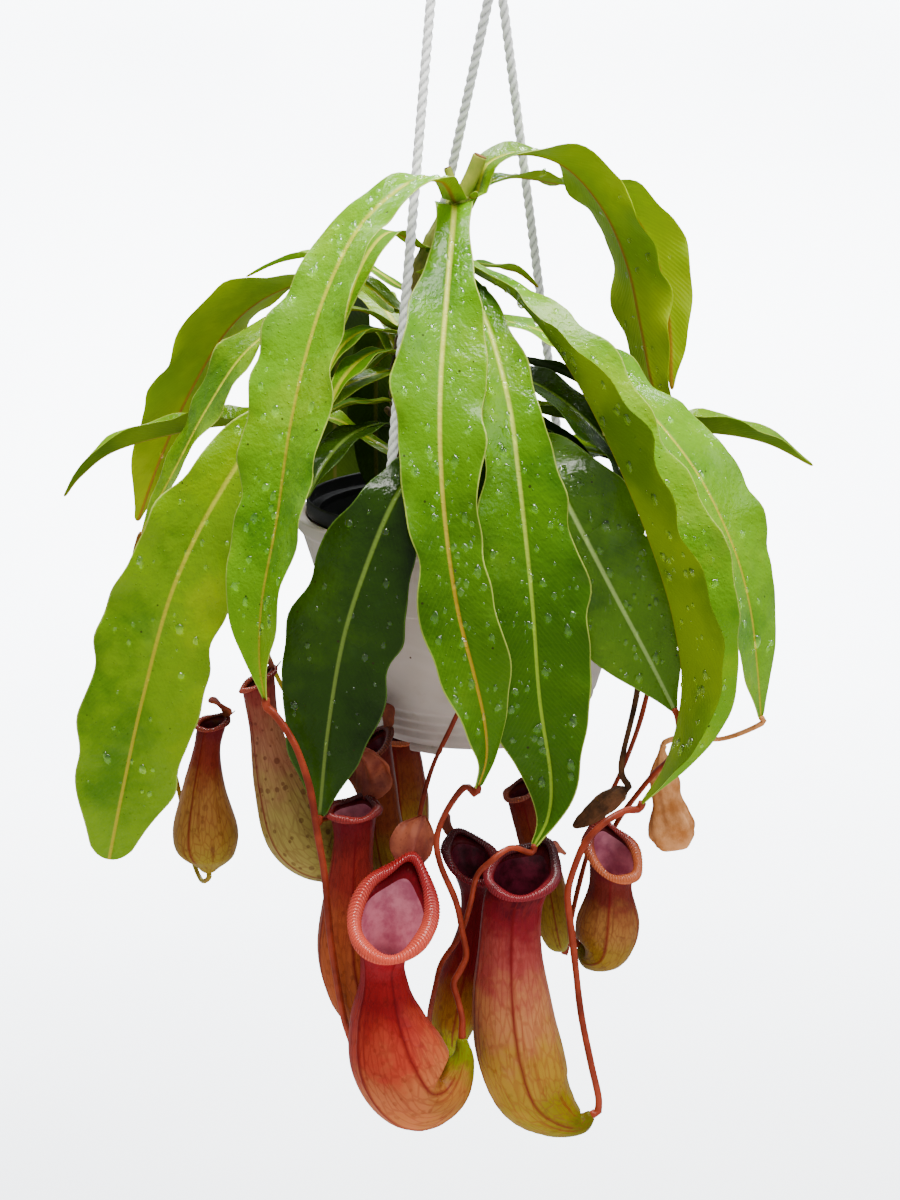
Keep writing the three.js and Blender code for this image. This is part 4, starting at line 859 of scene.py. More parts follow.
def back_leaf(height, heading, reach, rise, drop, half, phase):
    """A leaf on the hidden side, from how far it reaches, rises and drops."""
    points = []
    for share, level in zip((0.12, 0.4, 0.7, 0.92, 1, 0.97), (0.35, 1, 0.6, -0.1, -0.5, -1)):
        out = stem_at(height) + flat_direction(heading) * (8 + share * (reach - 8))
        points.append([out.x, out.y, height + level * (rise if level > 0 else drop)])
    return dict(height=height, face=heading, half=half, wave=3, waves=2.5, phase=phase, points=points)


def across_stations(width):
    """Places across a blade from one margin to the other, close together at the midrib."""
    rib = min(2.2, 0.3 * width)
    shares = (1, 0.975, 0.93, 0.86, 0.76, 0.65, 0.54, 0.43, 0.32, 0.21, 0.1, 0)
    near = [rib + share * (width - rib) for share in shares] + [0.6 * rib, 0.3 * rib]
    return near + [0.0] + [-p for p in reversed(near)]


def blade_form(spec, seed):
    """A blade's route, and a function that gives the width at s and the place of a point across it."""
    route = Route(spec["points"])
    length = route.length
    outline, fold, roll = spec.get("outline", STRAP), spec.get("fold", [0, 12, 8]), spec.get("roll", [0])
    wave, waves, phase = spec.get("wave", 0), spec.get("waves", 3), spec.get("phase", 0)
    thick, crimp = spec.get("thickness", LEAF_THICKNESS) / 2, spec.get("crimp", 1.0)
    blunt, pleat = max(1.6, spec["half"] * outline[-1]), spec.get("pleat", 0)

    def row(s):
        tangent = route.tangent(s)
        side = flat_direction(spec["face"]).cross(UP)
        side = (side - tangent * side.dot(tangent)).normalized()
        side = Matrix.Rotation(math.radians(along(roll, s)), 3, tangent) @ side
        upper = side.cross(tangent)
        centre = route.point(s)
        down = s * length
        keep = dome(s, length, 1.6)
        uneven = 1 + 0.035 * crimp * math.sin(down / 5.5 + seed)
        near = min(1, (length - down) / blunt)
        width = max(0.3, spec["half"] * along(outline, s) * min(keep, math.sqrt(near * (2 - near))) * uneven)
        tilt = math.radians(along(fold, s))
        here = noise.noise(Vector((down / 17, seed * 3.1, 0)))
        ends = math.sin(math.pi * s)

        def at(p, face):
            v = p / width
            bend = abs(v)
            left = v < 0
            # Long waves, a finer ripple of the margin, and a quilted skin between the veins
            ripple = v * v * wave * ends * math.sin(2 * math.pi * waves * s + phase + 2 * left)
            fine = bend ** 3 * crimp * (1.5 + 1.5 * here) * math.sin(down / (5.2 if left else 4.6) + seed)
            quilt = 0.7 * crimp * bend * noise.noise(Vector((p / 8, down / 8, seed)))
            rise = (math.sqrt(v * v + 0.004) - 0.063) * width * math.sin(tilt)
            rise += ripple + (fine + quilt) * ends
            rise += pleat * smooth(s, 0.15, 0.6) * math.cos(3 * math.pi * v + 0.6 * math.sin(5 * s))
            # The midrib is a groove above and a ridge below
            body = 0 if bend > 0.999 else thick * keep * (1 - 0.55 * v * v)
            groove = 0.45 * bell(p, 1.0) if face > 0 else 0.9 * (1 - 0.6 * s) * bell(p, 1.6)
            rise += face * body - groove * keep
            swing = down / 8.2 + 1.7 * seed + 2.4 * left
            wide = 1 + crimp * ends * v * v * (0.065 * math.sin(swing) + 0.02 * math.sin(2.3 * swing))
            point = centre + side * (p * wide * math.cos(tilt)) + upper * rise
            return point, dict(across=p, length=down, margin=width - abs(p))
        return width, at
    return route, row


def blade(spec, seed, step=3.4):
    """A closed blade: its upper side has the first material, its underside the second."""
    route, row = blade_form(spec, seed)
    shares = spread(max(14, round(route.length / step)))
    half = len(across_stations(10)) - 1

    def row_at(v):
        width, at = row(shares[round(v * (len(shares) - 1))])
        places = across_stations(width)

        def place(u):
            j = round(u * 2 * half)
            return at(places[j], 1) if j <= half else at(places[2 * half - j], -1)
        return place
    return woven(2 * half, len(shares) - 1, row_at, skin_at=lambda u, v: 0 if u < 0.5 else 1)


WATER = water("water_drops")
WET_LEAVES = dict(front_centre=170, front_left=150, front_right=160, dark_right=170, folded_right=280,
                  low_left=60, far_right=120, arched_right=90, arched_back=40, dark_left=50, broad_left=40)
SMALLEST_DROP = 0.6
LARGEST_DROP = 2.4


def drops(leaf, seed, count, both_sides):
    """Beads of water on a leaf: on its upper side, and on both where it hangs folded."""
    chance = random.Random(seed)
    _, row = blade_form(leaf, seed)
    beads = []
    for _ in range(count):
        s, v = chance.uniform(0.12, 0.9), chance.uniform(-0.8, 0.8)
        face = -1 if both_sides and chance.random() < 0.5 else 1
        width, at = row(s)
        here = at(v * width, face)[0]
        ahead = row(s + 0.004)[1](v * width, face)[0] - here
        aside = at(v * width + 0.5, face)[0] - here
        out = face * aside.cross(ahead).normalized()
        radius = SMALLEST_DROP + (LARGEST_DROP - SMALLEST_DROP) * chance.random() ** 2.6
        bead = bmesh.new()
        lower = bead.verts.layers.float.new("lower")
        bmesh.ops.create_uvsphere(bead, u_segments=10, v_segments=6, radius=radius / 1000)
        for vert in bead.verts:
            # The larger a drop, the more its outline wanders
            wander = noise.noise(Vector((*(900 * vert.co).xy, seed + 7 * radius)))
            vert.co *= 1 + 0.32 * (radius - SMALLEST_DROP) * wander
        seat = Matrix.Translation(spot(here)) @ out.to_track_quat("Z", "Y").to_matrix().to_4x4()
        bmesh.ops.transform(bead, matrix=seat @ Matrix.Diagonal((1, chance.uniform(0.85, 1.5), 0.5, 1)),
                            verts=bead.verts)
        # How low each point lies on its drop, which places the water's painted shade and light
        for vert in bead.verts:
            vert[lower] = 0.5 - 0.5 * (vert.co - spot(here)).z * 1000 / radius
        for face in bead.faces:
            face.smooth = True
        beads.append(bead)
    return joined(*beads)


OWN_TOPS = dict(front_centre=LEAF_GOLD, front_left=LEAF_LIT_CROWN, front_right=LEAF_DEEP, folded_right=LEAF_WET,
                far_right=LEAF_WET, dark_right=LEAF_HALF_SHADE, arched_back=LEAF_LIT_CROWN)
HALF_SHADED_UNDERSIDES = ("folded_right", "small_left", "small_right")
for number, spec in enumerate(BACK_LEAVES):
    LEAVES[f"back_{number + 1}"] = back_leaf(**spec)
LEAF_LINES = {}
for seed, (place, leaf) in enumerate(LEAVES.items()):
    dark, small = leaf.get("dark", False), leaf["half"] < 12
    leaf = {**leaf, "points": leaf_line(leaf), "crimp": 0.5 if small else 1.0}
    LEAF_LINES[place] = Route(leaf["points"])
    # Leaves marked dark hang in shade and get the copies with painted shade
    top = OWN_TOPS.get(place, LEAF_SHADE if dark else LEAF_INNER if small else LEAF_TOP)
    under = LEAF_UNDER_SHADE if dark or place.startswith("back_") else LEAF_UNDER
    if place in HALF_SHADED_UNDERSIDES:
        under = LEAF_UNDER_HALF_SHADE
    slot = "shaded_leaf" if dark else "leaf"
    piece(f"leaf_{place}", blade(leaf, seed), [top, under], f"leaf_{place}", slot)
    if place in WET_LEAVES:
        beads = drops(leaf, seed, WET_LEAVES[place], both_sides=place == "folded_right")
        # Clear water dims the leaf under it very little
        piece(f"drops_{place}", beads, [WATER], None, slot).visible_shadow = False


# Tendrils

TENDRIL_SKIN = plain_skin("tendril_rind", "#a03c20", "#6c200e", 18, 0.4, 0.3, coat=0.05)
TENDRIL_GREEN = plain_skin("green_tendril_rind", "#9a8c20", "#7c4614", 22, 0.4, 0.3, coat=0.05)


def tendril(points, radius, seed):
    """A tendril: a little thicker at both ends, and uneven between them."""
    route = Route(points)

    def size(s):
        near = min(s, 1 - s) * route.length
        uneven = 0.12 * noise.noise(Vector((s * route.length / 20, seed, 0)))
        return radius * (0.9 + 0.2 * bell(near, 7) + uneven)
    return tube(route, size, columns=14, step=1.6, cap=0.8)


for seed, (place, spec) in enumerate(TENDRILS.items()):
    leaf, line = LEAF_LINES[spec["leaf"]], Route(PITCHERS[place]["line"])
    tip, base = leaf.point(1), line.point(1)
    route = [tip - leaf.tangent(1) * 1.5, tip + leaf.tangent(1) * 3, *(Vector(p) for p in spec["points"]),
             base + line.tangent(1) * 3, base - line.tangent(1) * 1.0]
    skin = TENDRIL_GREEN if place in ("small_left", "behind_pot") else TENDRIL_SKIN
    piece(f"tendril_{place}", tendril(route, spec["radius"], seed), [skin], f"tendril_{place}", "tendril")


# Pitchers

PITCHER_SKINS = dict(
    front_left=pitcher_skin(
        "red_pitcher_rind", ((0.0, "#82121e"), (0.28, "#941a1e"), (0.43, "#aa3826"), (0.57, "#b46238"),
                             (0.74, "#a06428"), (0.9, "#687408")), "#6c0e12", 0.5, speck="#5c120e"),
    front_right=pitcher_skin(
        "striped_pitcher_rind", ((0.0, "#4a0a16"), (0.13, "#7a1822"), (0.25, "#98403a"), (0.38, "#b07044"),
                                 (0.54, "#a27a24"), (0.72, "#827008"), (0.92, "#5c5e00")), "#7c1c18", 0.55,
        specks=0.15),
    centre_left=pitcher_skin(
        "dark_pitcher_rind", ((0.0, "#640e18"), (0.26, "#882820"), (0.5, "#a8522c"), (0.92, "#905424")),
        "#4c0a0c", 0.4),
    small_left=pitcher_skin(
        "ochre_pitcher_rind", ((0.0, "#62181e"), (0.24, "#802e20"), (0.42, "#a06c34"), (0.85, "#8a7620")),
        "#62180f", 0.55),
    large_left=pitcher_skin(
        "mottled_pitcher_rind", ((0.0, "#84302c"), (0.22, "#9a6448"), (0.45, "#a08c48"), (0.95, "#969040")),
        "#5a1f16", 0.45, specks=0.5),
    right=pitcher_skin(
        "brown_pitcher_rind", ((0.0, "#5c1820"), (0.22, "#702820"), (0.38, "#946230"), (0.66, "#8a6c1c"),
                               (0.95, "#706e14")), "#5a1c12", 0.5),
    centre=pitcher_skin(
        "slim_pitcher_rind", ((0.0, "#5a101a"), (0.4, "#7a181c"), (0.6, "#8a5a14"), (0.8, "#878a14"),
                              (1.0, "#7e8c14")), "#5a1014", 0.5))
SHADED_PITCHER = pitcher_skin(
    "shaded_pitcher_rind", ((0.0, "#6a1e1a"), (0.3, "#7e3c20"), (0.6, "#8a7024"), (1.0, "#868024")),
    "#541414", 0.45)
INSIDE_PALE = plain_skin("mauve_pitcher_lining", "#dc8494", "#b0546c", 9, 0.38, 0.3, coat=0.1)
# Painted shade: a darker copy of the lining for the pitchers whose mouths lie in shade
INSIDE_SHADED = plain_skin("painted_shade_pitcher_lining", "#7a2238", "#3c0c16", 7, 0.4, 0.3, coat=0.1)
PALE_INSIDE = ("front_left", "centre_left", "right")
LIP_COLOURS = dict(front_left=("#cc4c38", "#981c1e"), front_right=("#7c1820", "#420a12"),
                   centre_left=("#8a2420", "#500e12"), large_left=("#a0402c", "#641818"),
                   small_left=("#8e3024", "#5c1414"), right=("#c06034", "#8a2420"),
                   centre=("#8a1c28", "#4e0c16"), behind_pot=("#a04c28", "#702418"))
SHADED_LIP = ("#9a4630", "#642420")
LID_TOPS = dict(front_left=lid_skin("speckled_lid_rind", "#a04e34", "#7a2c22", "#c08a4a", 0.7),
                centre_left=lid_skin("salmon_lid_rind", "#b4523e", "#8a2c24", "#c47a54", 0.3),
                large_left=lid_skin("olive_lid_rind", "#8a5c2c", "#642c1c", "#b08c40", 0.4))
LID_PLAIN = lid_skin("plain_lid_rind", "#8c3c28", "#5c1c18", "#b0703c", 0.3)
LID_UNDER = lid_skin("lid_underside", "#a8583c", "#7c3428", "#5c1814", 0.3)

CUP_COLUMNS = 72
WING_COLUMN = 7
FRAMES = 600
LINING_DEPTH = 0.82
LINING_ROWS = 30
WALL = 1.1
PITCHER_LID = dict(outline=OVATE, thickness=1.0, crimp=0.55, wave=0.7, waves=1.5)
SPUR = ((2, 1), (4.5, 3.5))


def mouth_rise(spec, radius, angle, near):
    """How far the mouth leans up towards the lid, and comes to a point there."""
    back = abs(math.atan2(math.sin(angle - math.pi), math.cos(angle - math.pi)))
    return near * radius * (spec.get("peak", 0.1) * bell(back, 0.42) - spec["tilt"] * math.cos(angle))


def cup(spec, seed):
    """The wall of a pitcher with its two fringed wings, its lining and its closed floor."""
    radii = [p[3] * LIVE_SWELL for p in spec["line"]]
    route = Route(spec["line"])
    count = max(60, round(route.length / 1.5))
    # Each row has its share of the line and how far it closes in: from 1 at the foot's tip to 0 on the
    # wall, and below 0 in the lining
    outer = [(1.0, 1), (1.0, 0.6), (1.0, 0.2)] + [(1 - i / count, 0) for i in range(1, count + 1)]
    inner = [(LINING_DEPTH * i / LINING_ROWS, -1) for i in range(1, LINING_ROWS + 1)] + [(LINING_DEPTH, -2)]
    stations = outer + inner
    frames = carried_frames(route, spec["front"], FRAMES)

    def row_at(v):
        t, kind = stations[round(v * (len(stations) - 1))]
        centre, tangent, facing, side = frames[round(t * FRAMES)]
        near = max(0, 1 - 5 * t)
        radius = along(radii, t)
        inside = kind < 0
        if inside:
            radius = 0.01 if kind == -2 else max(0.4, radius - WALL)
        else:
            radius *= 1 - kind

        def at(u):
            angle = 2 * math.pi * (u % 1.0)
            column = round(u * CUP_COLUMNS) % CUP_COLUMNS
            steps = min(abs(column - WING_COLUMN), abs(column - CUP_COLUMNS + WING_COLUMN))
            fringe = rib = 0.0
            if not inside:
                rib = 0.1 * math.cos(9 * angle + 3 * t) * (1 - smooth(t, 0.75, 1))
                if 0.03 < t < 0.93:
                    shape = smooth(t, 0.03, 0.1) * (1 - smooth(t, 0.72, 0.93))
                    fringe = shape * (1 if steps == 0 else 0.18 if steps == 1 else 0)
            wing = fringe * (spec["wing"] * 0.7) * (1 + 0.12 * math.sin(t * route.length * 1.3 + seed))
            swirl = Vector((math.cos(angle), math.sin(angle), t * 5 + seed)) * 1.4
            reach = radius + wing + rib + 0.018 * radius * noise.noise(swirl)
            rise = mouth_rise(spec, radius, angle, near) - (0.5 if inside and t < 0.01 else 0)
            point = centre + facing * (reach * math.cos(angle)) + side * (reach * math.sin(angle))
            return point - tangent * rise, dict(down=t, wing=1.0 if fringe > 0.5 else 0.0)
        return at
    share = len(outer) / (len(stations) - 1)
    return woven(CUP_COLUMNS, len(stations) - 1, row_at, skin_at=lambda u, v: 0 if v < share else 1)


# The rolled rim's section, in shares of its size: how far out and how high
LIP_SECTION = [(0.1, -0.6), (0.62, -0.66), (1.02, -0.44), (1.03, -0.05), (0.72, 0.36), (0.3, 0.58),
               (-0.15, 0.55), (-0.5, 0.28), (-0.68, -0.06), (-0.66, -0.36), (-0.45, -0.42), (-0.2, -0.42),
               (0.1, -0.6)]
INNER_EDGE = (8, 9)


def lip_ribs(spec):
    """How many ribs the rim has, about 1.25 mm apart."""
    return round(2 * math.pi * (spec["line"][0][3] + spec["lip"] * 0.5) / 1.25)


def lip(spec, seed):
    """The rolled rim of the mouth, ribbed all round, with small teeth on its inner edge."""
    centre, tangent, facing, side = carried_frames(Route(spec["line"]), spec["front"], 60)[0]
    radius, size = spec["line"][0][3] * LIVE_SWELL, spec["lip"]
    ribs, spans = lip_ribs(spec), len(LIP_SECTION) - 1

    def row_at(v):
        i = min(int(v * spans), spans - 1)
        part = v * spans - i
        out, high = (a * (1 - part) + b * part for a, b in zip(LIP_SECTION[i], LIP_SECTION[i + 1]))
        shown = smooth(high, -0.45, -0.1)
        tooth = 0.12 if i in INNER_EDGE else 0.0

        def at(u):
            angle = 2 * math.pi * (u % 1.0)
            crest = math.cos(angle * ribs)
            flare = 1 + 0.1 * math.sin(3 * angle + seed) + 0.08 * math.sin(5 * angle + 2 * seed)
            reach = radius + size * flare * (out + 0.07 * crest * shown * (out + 0.3))
            reach -= tooth * size * max(0, crest)
            rise = mouth_rise(spec, radius, angle, 1) + size * (high + 0.06 * crest * shown)
            rise += 0.25 * size * math.sin(4 * angle + seed) * shown
            point = centre + facing * (reach * math.cos(angle)) + side * (reach * math.sin(angle))
            return point - tangent * rise, dict(down=0.5 + 0.5 * math.cos(angle))
        return at
    return woven(min(440, 4 * ribs), spans, row_at)


def lid(spec, seed):
    """The lid on its short neck, and the thin spur behind it."""
    centre, tangent, facing, _ = carried_frames(Route(spec["line"]), spec["front"], 60)[0]
    up, radius, shape = -tangent, spec["line"][0][3], spec["lid"]
    start = centre - facing * radius + up * (spec["tilt"] * radius)
    points = [start]
    for i in range(3):
        pitch = math.radians(shape["pitch"] - shape["curl"] * i)
        points.append(points[-1] + (facing * math.cos(pitch) + up * math.sin(pitch)) * (shape["length"] / 3))
    flap = {**PITCHER_LID, **shape, "points": points, "face": spec["front"], "phase": seed}
    spur = [start - up * 1.5] + [start - facing * back + up * high for back, high in shape.get("spur", SPUR)]
    return blade(flap, seed, step=0.9), tube(Route(spur), lambda s: 0.7 - 0.4 * s, columns=8, step=0.8)


def stalk(spec, seed):
    """A pitcher's own tendril, from its foot back to the leaf that it hangs from."""
    line, leaf = Route(spec["line"]), LEAF_LINES[spec["tail"]["leaf"]]
    base, tip = line.point(1), leaf.point(1)
    points = [base - line.tangent(1) * 2, base + line.tangent(1) * 1,
              *(Vector(p) for p in spec["tail"]["points"]),
              tip + leaf.tangent(1) * 3, tip - leaf.tangent(1) * 1]
    return tendril(points, spec["tail"]["radius"], seed)


def make_pitcher(place, spec, seed):
    skins = [PITCHER_SKINS.get(place, SHADED_PITCHER), INSIDE_PALE if place in PALE_INSIDE else INSIDE_SHADED,
             lip_skin(f"peristome_{place}", *LIP_COLOURS.get(place, SHADED_LIP), lip_ribs(spec)),
             LID_TOPS.get(place, LID_PLAIN), LID_UNDER, TENDRIL_SKIN]
    flap, spur = lid(spec, seed)
    for face in flap.faces:
        face.material_index += 3
    parts = [cup(spec, seed), (lip(spec, seed), 2), flap, (spur, 3)]
    if "tail" in spec:
        parts.append((stalk(spec, seed), 5))
    piece(f"pitcher_{place}", joined(*parts), skins, f"pitcher_{place}", "pitcher")


for seed, (place, spec) in enumerate(PITCHERS.items()):
    make_pitcher(place, spec, seed)


def withered_body(spec, seed):
    """A pitcher that has dried out and folded flat, creased along its length."""
    route = Route(spec["line"])
    radii = [p[3] for p in spec["line"]]
    frames = carried_frames(route, spec["front"], 200)
    shares = spread(max(30, round(route.length / 0.8)))

    def row_at(v):
        t = shares[round(v * (len(shares) - 1))]
        centre, _, facing, side = frames[round(t * 200)]
        keep = dome(t, route.length, 2.0)

        def at(u):
            angle = 2 * math.pi * (u % 1.0)
            crease = 0.9 + 0.2 * abs(math.sin(2 * angle + 3 * t)) + 0.07 * math.cos(9 * angle + 9 * t + seed)
            crease += 0.12 * noise.noise(Vector((2 * math.cos(angle), 2 * math.sin(angle), t * 9 + seed)))
            reach = along(radii, t) * crease * keep
            point = centre + facing * (spec["flat"] * reach * math.cos(angle))
            return point + side * (reach * math.sin(angle))
        return at
    return woven(44, len(shares) - 1, row_at)


WITHERED_SKINS = dict(
    dried=plain_skin("dried_papery_rind", "#dc9860", "#b06a30", 9, 0.75, 0.7, grain=2.5, strength=0.8),
    shrivelled=plain_skin("shrivelled_rind", "#6a4226", "#36200f", 8, 0.7, 0.7, strength=0.8))
for seed, (place, spec) in enumerate(WITHERED.items()):
    body = joined((withered_body(spec, seed), 0), (stalk(spec, seed), 0))
    piece(f"pitcher_{place}", body, [WITHERED_SKINS[place]], f"pitcher_{place}", "dry_pitcher")


# Stem

STEM_BARK = bark("vine_bark")
CUT_WOOD = plain_skin("dried_cut_wood", "#8f6233", "#54351a", 4, 0.8, 0.4)
GREEN_SHOOT = plain_skin("green_shoot_rind", "#b4b547", "#8a9a2e", 10, 0.45, 0.3, coat=0.15)
STUBS = [([[-8, 0, 146], [-3, -1, 156], [2, -2, 167]], 3.6),
         ([[-9, 0, 146], [-12, 1, 155], [-14, 2, 161]], 2)]
JOINT_SPACING = 13


def stem_swelling(angle, s):
    """Leaf joints at even steps, and shallow cracks."""
    joint = bell((s * STEM.length) % JOINT_SPACING - JOINT_SPACING / 2, 1.6) * 0.13
    return 0.97 + joint + 0.05 * noise.noise(Vector((2 * math.cos(angle), 2 * math.sin(angle), s * 40)))


def main_stem():
    stem = tube(STEM, lambda s: STEM_RADIUS * (1 - 0.1 * s), columns=26, step=1.5, cap=1.5,
                form=stem_swelling)
    parts = [(stem, 0)]
    for points, radius in STUBS:
        route = Route(points)
        parts.append((tube(route, radius, columns=20, step=1.0, cap=0.5,
                           form=lambda angle, s: 1 + 0.05 * math.cos(3 * angle + 5 * s)), 2))
        end, way = route.point(1), route.tangent(1)
        cut = Route([end - way * 0.6, end, end + way * 0.5])
        parts.append((tube(cut, radius * 0.93, columns=20, step=0.3, cap=0.3), 1))
    # Stumps of old leaf stalks, up the bare part of the stem
    for i in range(9):
        seat, way = stem_at(-14 + 9 * i + (i % 3) * 2), flat_direction(47 + 137.5 * i)
        stump = Route([seat + way * 3, seat + way * 6 + UP * 1, seat + way * 8.5 + UP * 3])
        parts.append((tube(stump, lambda s: 2.4 - 1.0 * s, columns=12, step=0.9, cap=0.5), 0))
    return joined(*parts)


piece("main_stem", main_stem(), [STEM_BARK, CUT_WOOD, GREEN_SHOOT], "main_stem", "stem")


# Pots, medium and hook

def block(size, centre, angle, edge):
    """A rounded block, turned about the pot's axis."""
    mesh = bmesh.new()
    bmesh.ops.create_cube(mesh, size=1)
    bmesh.ops.scale(mesh, vec=Vector(size) / 1000, verts=mesh.verts)
    bmesh.ops.bevel(mesh, geom=mesh.edges, offset=edge / 1000, segments=3, affect="EDGES", profile=0.5,
                    material=-1)
    place = Matrix.Translation(spot((0, 0, 0))) @ Matrix.Rotation(math.radians(angle), 4, "Z")
    bmesh.ops.transform(mesh, matrix=place @ Matrix.Translation(Vector(centre) / 1000), verts=mesh.verts)
    for face in mesh.faces:
        face.smooth = True
    return mesh


def ring(inner, start, outer, low, high, edge, steps, centre):
    """A flat ring with rounded edges, whose outline starts at one radius on its underside."""
    outline = [(start, low), (outer, low), (outer, high), (inner, high), (inner, low), (start, low)]
    return turned(rounded(outline, edge), steps, centre)


def outer_pot():
    wall, mouth, foot, top, bottom = (POT[k] for k in ("wall", "mouth", "foot", "top", "bottom"))
    slope_top = top - POT["collar"]

    def slope(height):
        return foot + (mouth - foot) * (height - bottom) / (slope_top - bottom)
    profile = [(0, bottom + 1), (foot - 10, bottom + 1), (foot - 8, bottom), (foot - 2, bottom),
               (foot, bottom + 1.5)]
    # Four ridges low down, and the seam halfway up
    for z in (-113, -108, -103, -98):
        profile += [(slope(z - 1.5), z - 1.5), (slope(z) + 0.9, z)]
    seam = -46
    profile += [(slope(seam - 0.7), seam - 0.7), (slope(seam) + 0.7, seam), (mouth + 0.6, slope_top),
                (POT["rim"], top - 6), (POT["rim"], top), (mouth - wall, top), (mouth - wall, slope_top),
                (foot - wall, bottom + wall + 2), (foot - wall - 2, bottom + wall + 1),
                (0, bottom + wall + 1)]
    parts = [turned(rounded(profile, 0.8), 144)]
    for angle in ROPE["hole_angles"]:
        hole = flat_direction(angle) * ROPE["hole_radius"]
        parts.append(ring(3.4, 5, 7, top - POT["lug"], top - 0.4, 0.7, 40, hole))
        parts.append(block((5, 17, 4.5), (foot - 3, 0, bottom - 1.25), angle, 1.4))
    return joined(*parts)


def nursery_pot():
    rim, band, mouth, foot, wall, bottom = NURSERY_POT.values()
    profile = [(0, bottom), (foot - 2, bottom), (foot, bottom + 2), (mouth, -band), (rim, -band), (rim, -0.8),
               (rim - wall * 0.5, 0), (rim - wall, -0.6), (rim - wall, -band + wall),
               (mouth - wall, -band + wall), (mouth - wall, -band - 2), (foot - wall, bottom + wall + 2),
               (foot - wall - 2, bottom + wall), (0, bottom + wall)]
    return turned(rounded(profile, 0.35), 120)


def growing_medium():
    """Crumbly medium with bark chips lying in it."""
    _, band, mouth, foot, wall, bottom = NURSERY_POT.values()

    def edge(height):
        share = (height - (bottom + wall + 2)) / (-band - 2 - (bottom + wall + 2))
        return foot - wall + (mouth - foot) * share - 0.5
    floor = bottom + wall + GAP
    profile = [(0, floor), (foot - wall - 2.8, floor), (edge(floor + 8), floor + 8),
               (edge(MEDIUM_TOP - 2), MEDIUM_TOP - 2), (edge(MEDIUM_TOP) - 4, MEDIUM_TOP + 0.5)]
    profile += [(r, MEDIUM_TOP + z) for r, z in ((66, 0), (58, -1), (52, -1.5), (44, 0), (34, 1.5), (26, 1),
                                                 (20, 0), (14, -1), (8, 0), (0, 1))]
    bed = turned(profile, 90)
    for vert in bed.verts:
        if vert.co.z > spot((0, 0, MEDIUM_TOP - 3)).z:
            vert.co.z += 0.0012 * noise.noise(vert.co * 160)
    chance = random.Random(5)
    chips = bmesh.new()
    for _ in range(CHIPS):
        chip = bmesh.ops.create_icosphere(chips, subdivisions=1, radius=0.001)["verts"]
        size = chance.uniform(2.2, 5.5)
        for vert in chip:
            vert.co *= chance.uniform(0.75, 1.2)
        angle, reach = chance.uniform(0, 2 * math.pi), 70 * math.sqrt(chance.uniform(0.01, 1))
        height = MEDIUM_TOP + chance.uniform(-0.5, 1.6)
        seat = Matrix.Translation(spot((reach * math.cos(angle), reach * math.sin(angle), height)))
        turn = Matrix.Rotation(chance.uniform(0, 6.3), 4, "Z")
        turn @= Matrix.Rotation(chance.uniform(-0.5, 0.5), 4, "X")
        flake = Matrix.Diagonal((size, 0.6 * size, 0.35 * size, 1))
        bmesh.ops.transform(chips, matrix=seat @ turn @ flake, verts=chip)
    return joined((bed, 0), (chips, 1))


def hook():
    thick, height = EYE["thickness"], EYE["height"]
    low, high = height - thick / 2, height + thick / 2
    parts = [turned(rounded([(0, low), (13, low), (11, high), (0, high)], 1.2), 64)]
    for angle in EYE["angles"]:
        eye = flat_direction(angle) * EYE["radius"]
        parts.append(ring(EYE["hole"], 5.5, 7, low, high, 0.9, 36, eye))
        parts.append(block((16, 7, thick - 0.2), (8.3, 0, height), angle, 1.0))
    bend = [(HOOK["radius"] * math.cos(turn), 0, HOOK["centre"] + HOOK["radius"] * math.sin(turn))
            for turn in map(math.radians, range(-70, 191, 20))]
    wire = Route([(0, 0, height), (0, 0, height + 12), *bend])
    parts.append(tube(wire, HOOK["wire"], columns=24, step=1.5))
    return joined(*parts)


POT_PLASTIC = moulded_plastic("moulded_white_polypropylene")
NURSERY_PLASTIC = plain_skin("matt_black_polypropylene", "#121214", "#070708", 20, 0.5, 0.15, grain=0.8,
                             gloss=0.2)
MEDIUM_FIBRE = plain_skin("coarse_bark_fibre", "#24180f", "#0a0704", 5, 0.95, 1.4, grain=1.6, strength=1.0)
BARK_CHIP = plain_skin("composted_pine_bark", "#442c1a", "#1a100a", 6, 0.88, 0.8, strength=0.8)
HOOK_PLASTIC = plain_skin("satin_white_nylon", "#f3f2ee", "#e6e4de", 25, 0.34, 0.12, grain=1.0)
for name, mesh, skins in (("outer_pot", outer_pot(), [POT_PLASTIC]),
                          ("nursery_pot", nursery_pot(), [NURSERY_PLASTIC]),
                          ("growing_medium", growing_medium(), [MEDIUM_FIBRE, BARK_CHIP]),
                          ("hook", hook(), [HOOK_PLASTIC])):
    piece(name, mesh, skins, name, name)


# Stage: floor, wall, light

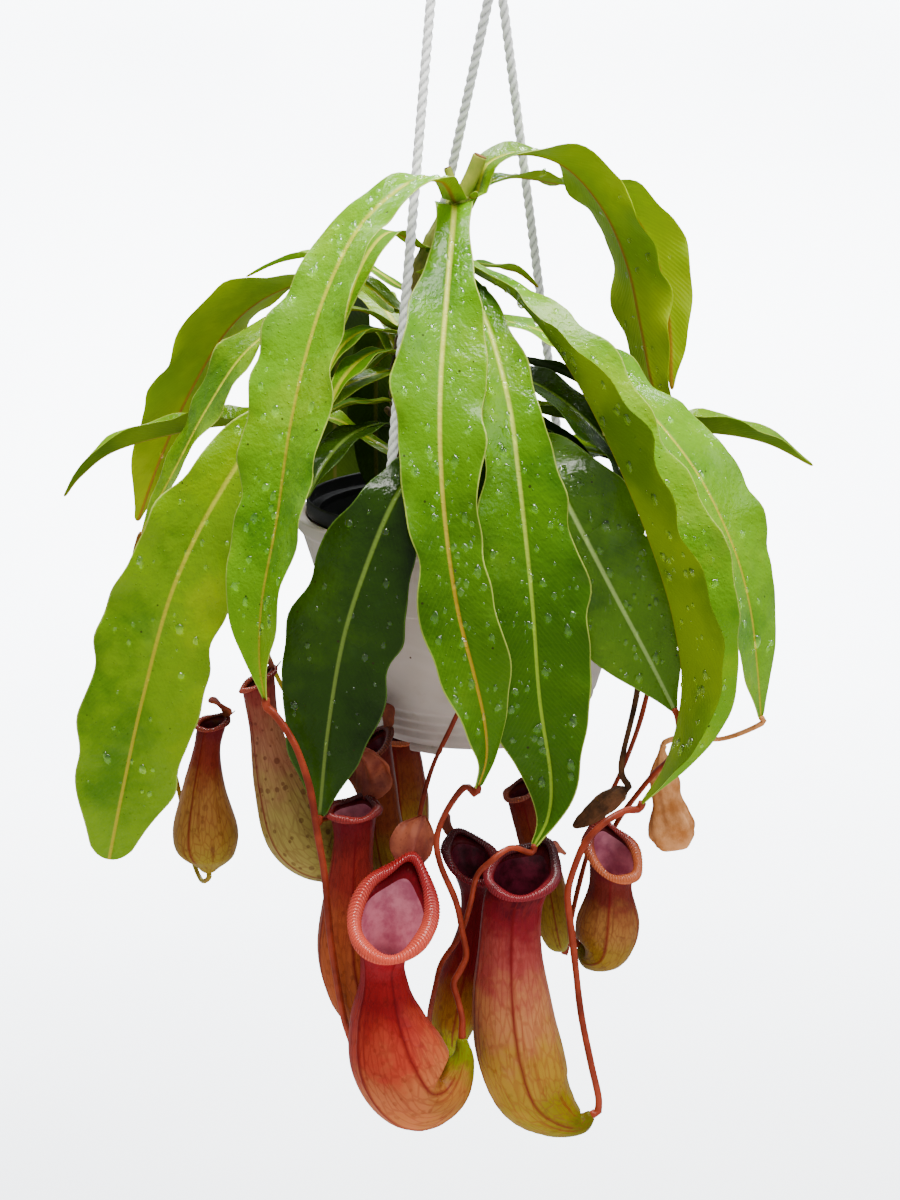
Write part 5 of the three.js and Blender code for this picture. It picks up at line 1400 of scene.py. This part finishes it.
def backdrop():
    """Paper that lies flat below the plant, curves up behind it and then rises steeply."""
    mesh = bmesh.new()
    bmesh.ops.create_grid(mesh, x_segments=1, y_segments=40, size=4)
    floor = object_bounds()[0][2] - 0.35
    for vert in mesh.verts:
        share = (vert.co.y + 4) / 8
        bend = min(1, max(0, (share - 0.45) / 0.2)) * math.pi / 2
        vert.co.y = -3 + 10.6 * min(share, 0.45) + 0.9 * math.sin(bend)
        vert.co.z = floor + 0.9 * (1 - math.cos(bend)) + max(0, share - 0.65) * 9
    for face in mesh.faces:
        face.smooth = True
    data = bpy.data.meshes.new("backdrop")
    mesh.to_mesh(data)
    mesh.free()
    material, tree, at = start("pale_studio_paper")
    clouds = add(tree, "TexNoise", at, per(400), 2)
    paper = add(tree, "ValToRGB", clouds, stops=((0.3, "#f3f5f8"), (0.7, "#f8fafc")))
    data.materials.append(finish(material, paper, Roughness=0.9))
    made = bpy.data.objects.new("backdrop", data)
    bpy.context.scene.collection.objects.link(made)
    # The paper is bright to look at, but isn't mirrored in the leaves and throws no light on their backs
    made.visible_glossy = made.visible_diffuse = False
    made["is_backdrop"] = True


def softbox(name, place, aim, size, power, shade, mirrored=True):
    lamp = bpy.data.lights.new(name, "AREA")
    lamp.shape = "RECTANGLE"
    lamp.size, lamp.size_y = size
    lamp.energy = power
    lamp.color = colour(shade)[:3]
    made = stood(name, lamp, place, aim)
    made.visible_glossy, made.visible_camera = mirrored, False


backdrop()
MIDDLE = (0, 0, -0.36)
softbox("softbox_above", (0.12, -0.28, 1.1), MIDDLE, (0.75, 0.65), 48, "#fffdf8")
softbox("softbox_right", (1.3, -0.6, 0.6), MIDDLE, (0.9, 1.0), 12, "#f6f9ff")
softbox("softbox_low", (0.05, -0.45, -0.94), (0.05, -0.45, 0), (1.1, 0.7), 8, "#fff8f0", mirrored=False)
softbox("softbox_backdrop", (0, 1.5, 1.7), (0, 3.2, 0.1), (3.8, 0.8), 1050, "#f8fbff")

# The room is pale to look at, but lights the plant little: most of its light comes from above
studio = bpy.data.worlds.new("studio")
bpy.context.scene.world = studio
studio.use_nodes = True
sky = studio.node_tree
dim = sky.nodes["Background"]
fill(sky, dim, "#eef2f7", 0.5)
room = add(sky, "MixShader", add(sky, "LightPath"), dim, add(sky, "Background", "#f6f8fa", 1.3))
fill(sky, sky.nodes["World Output"], room)
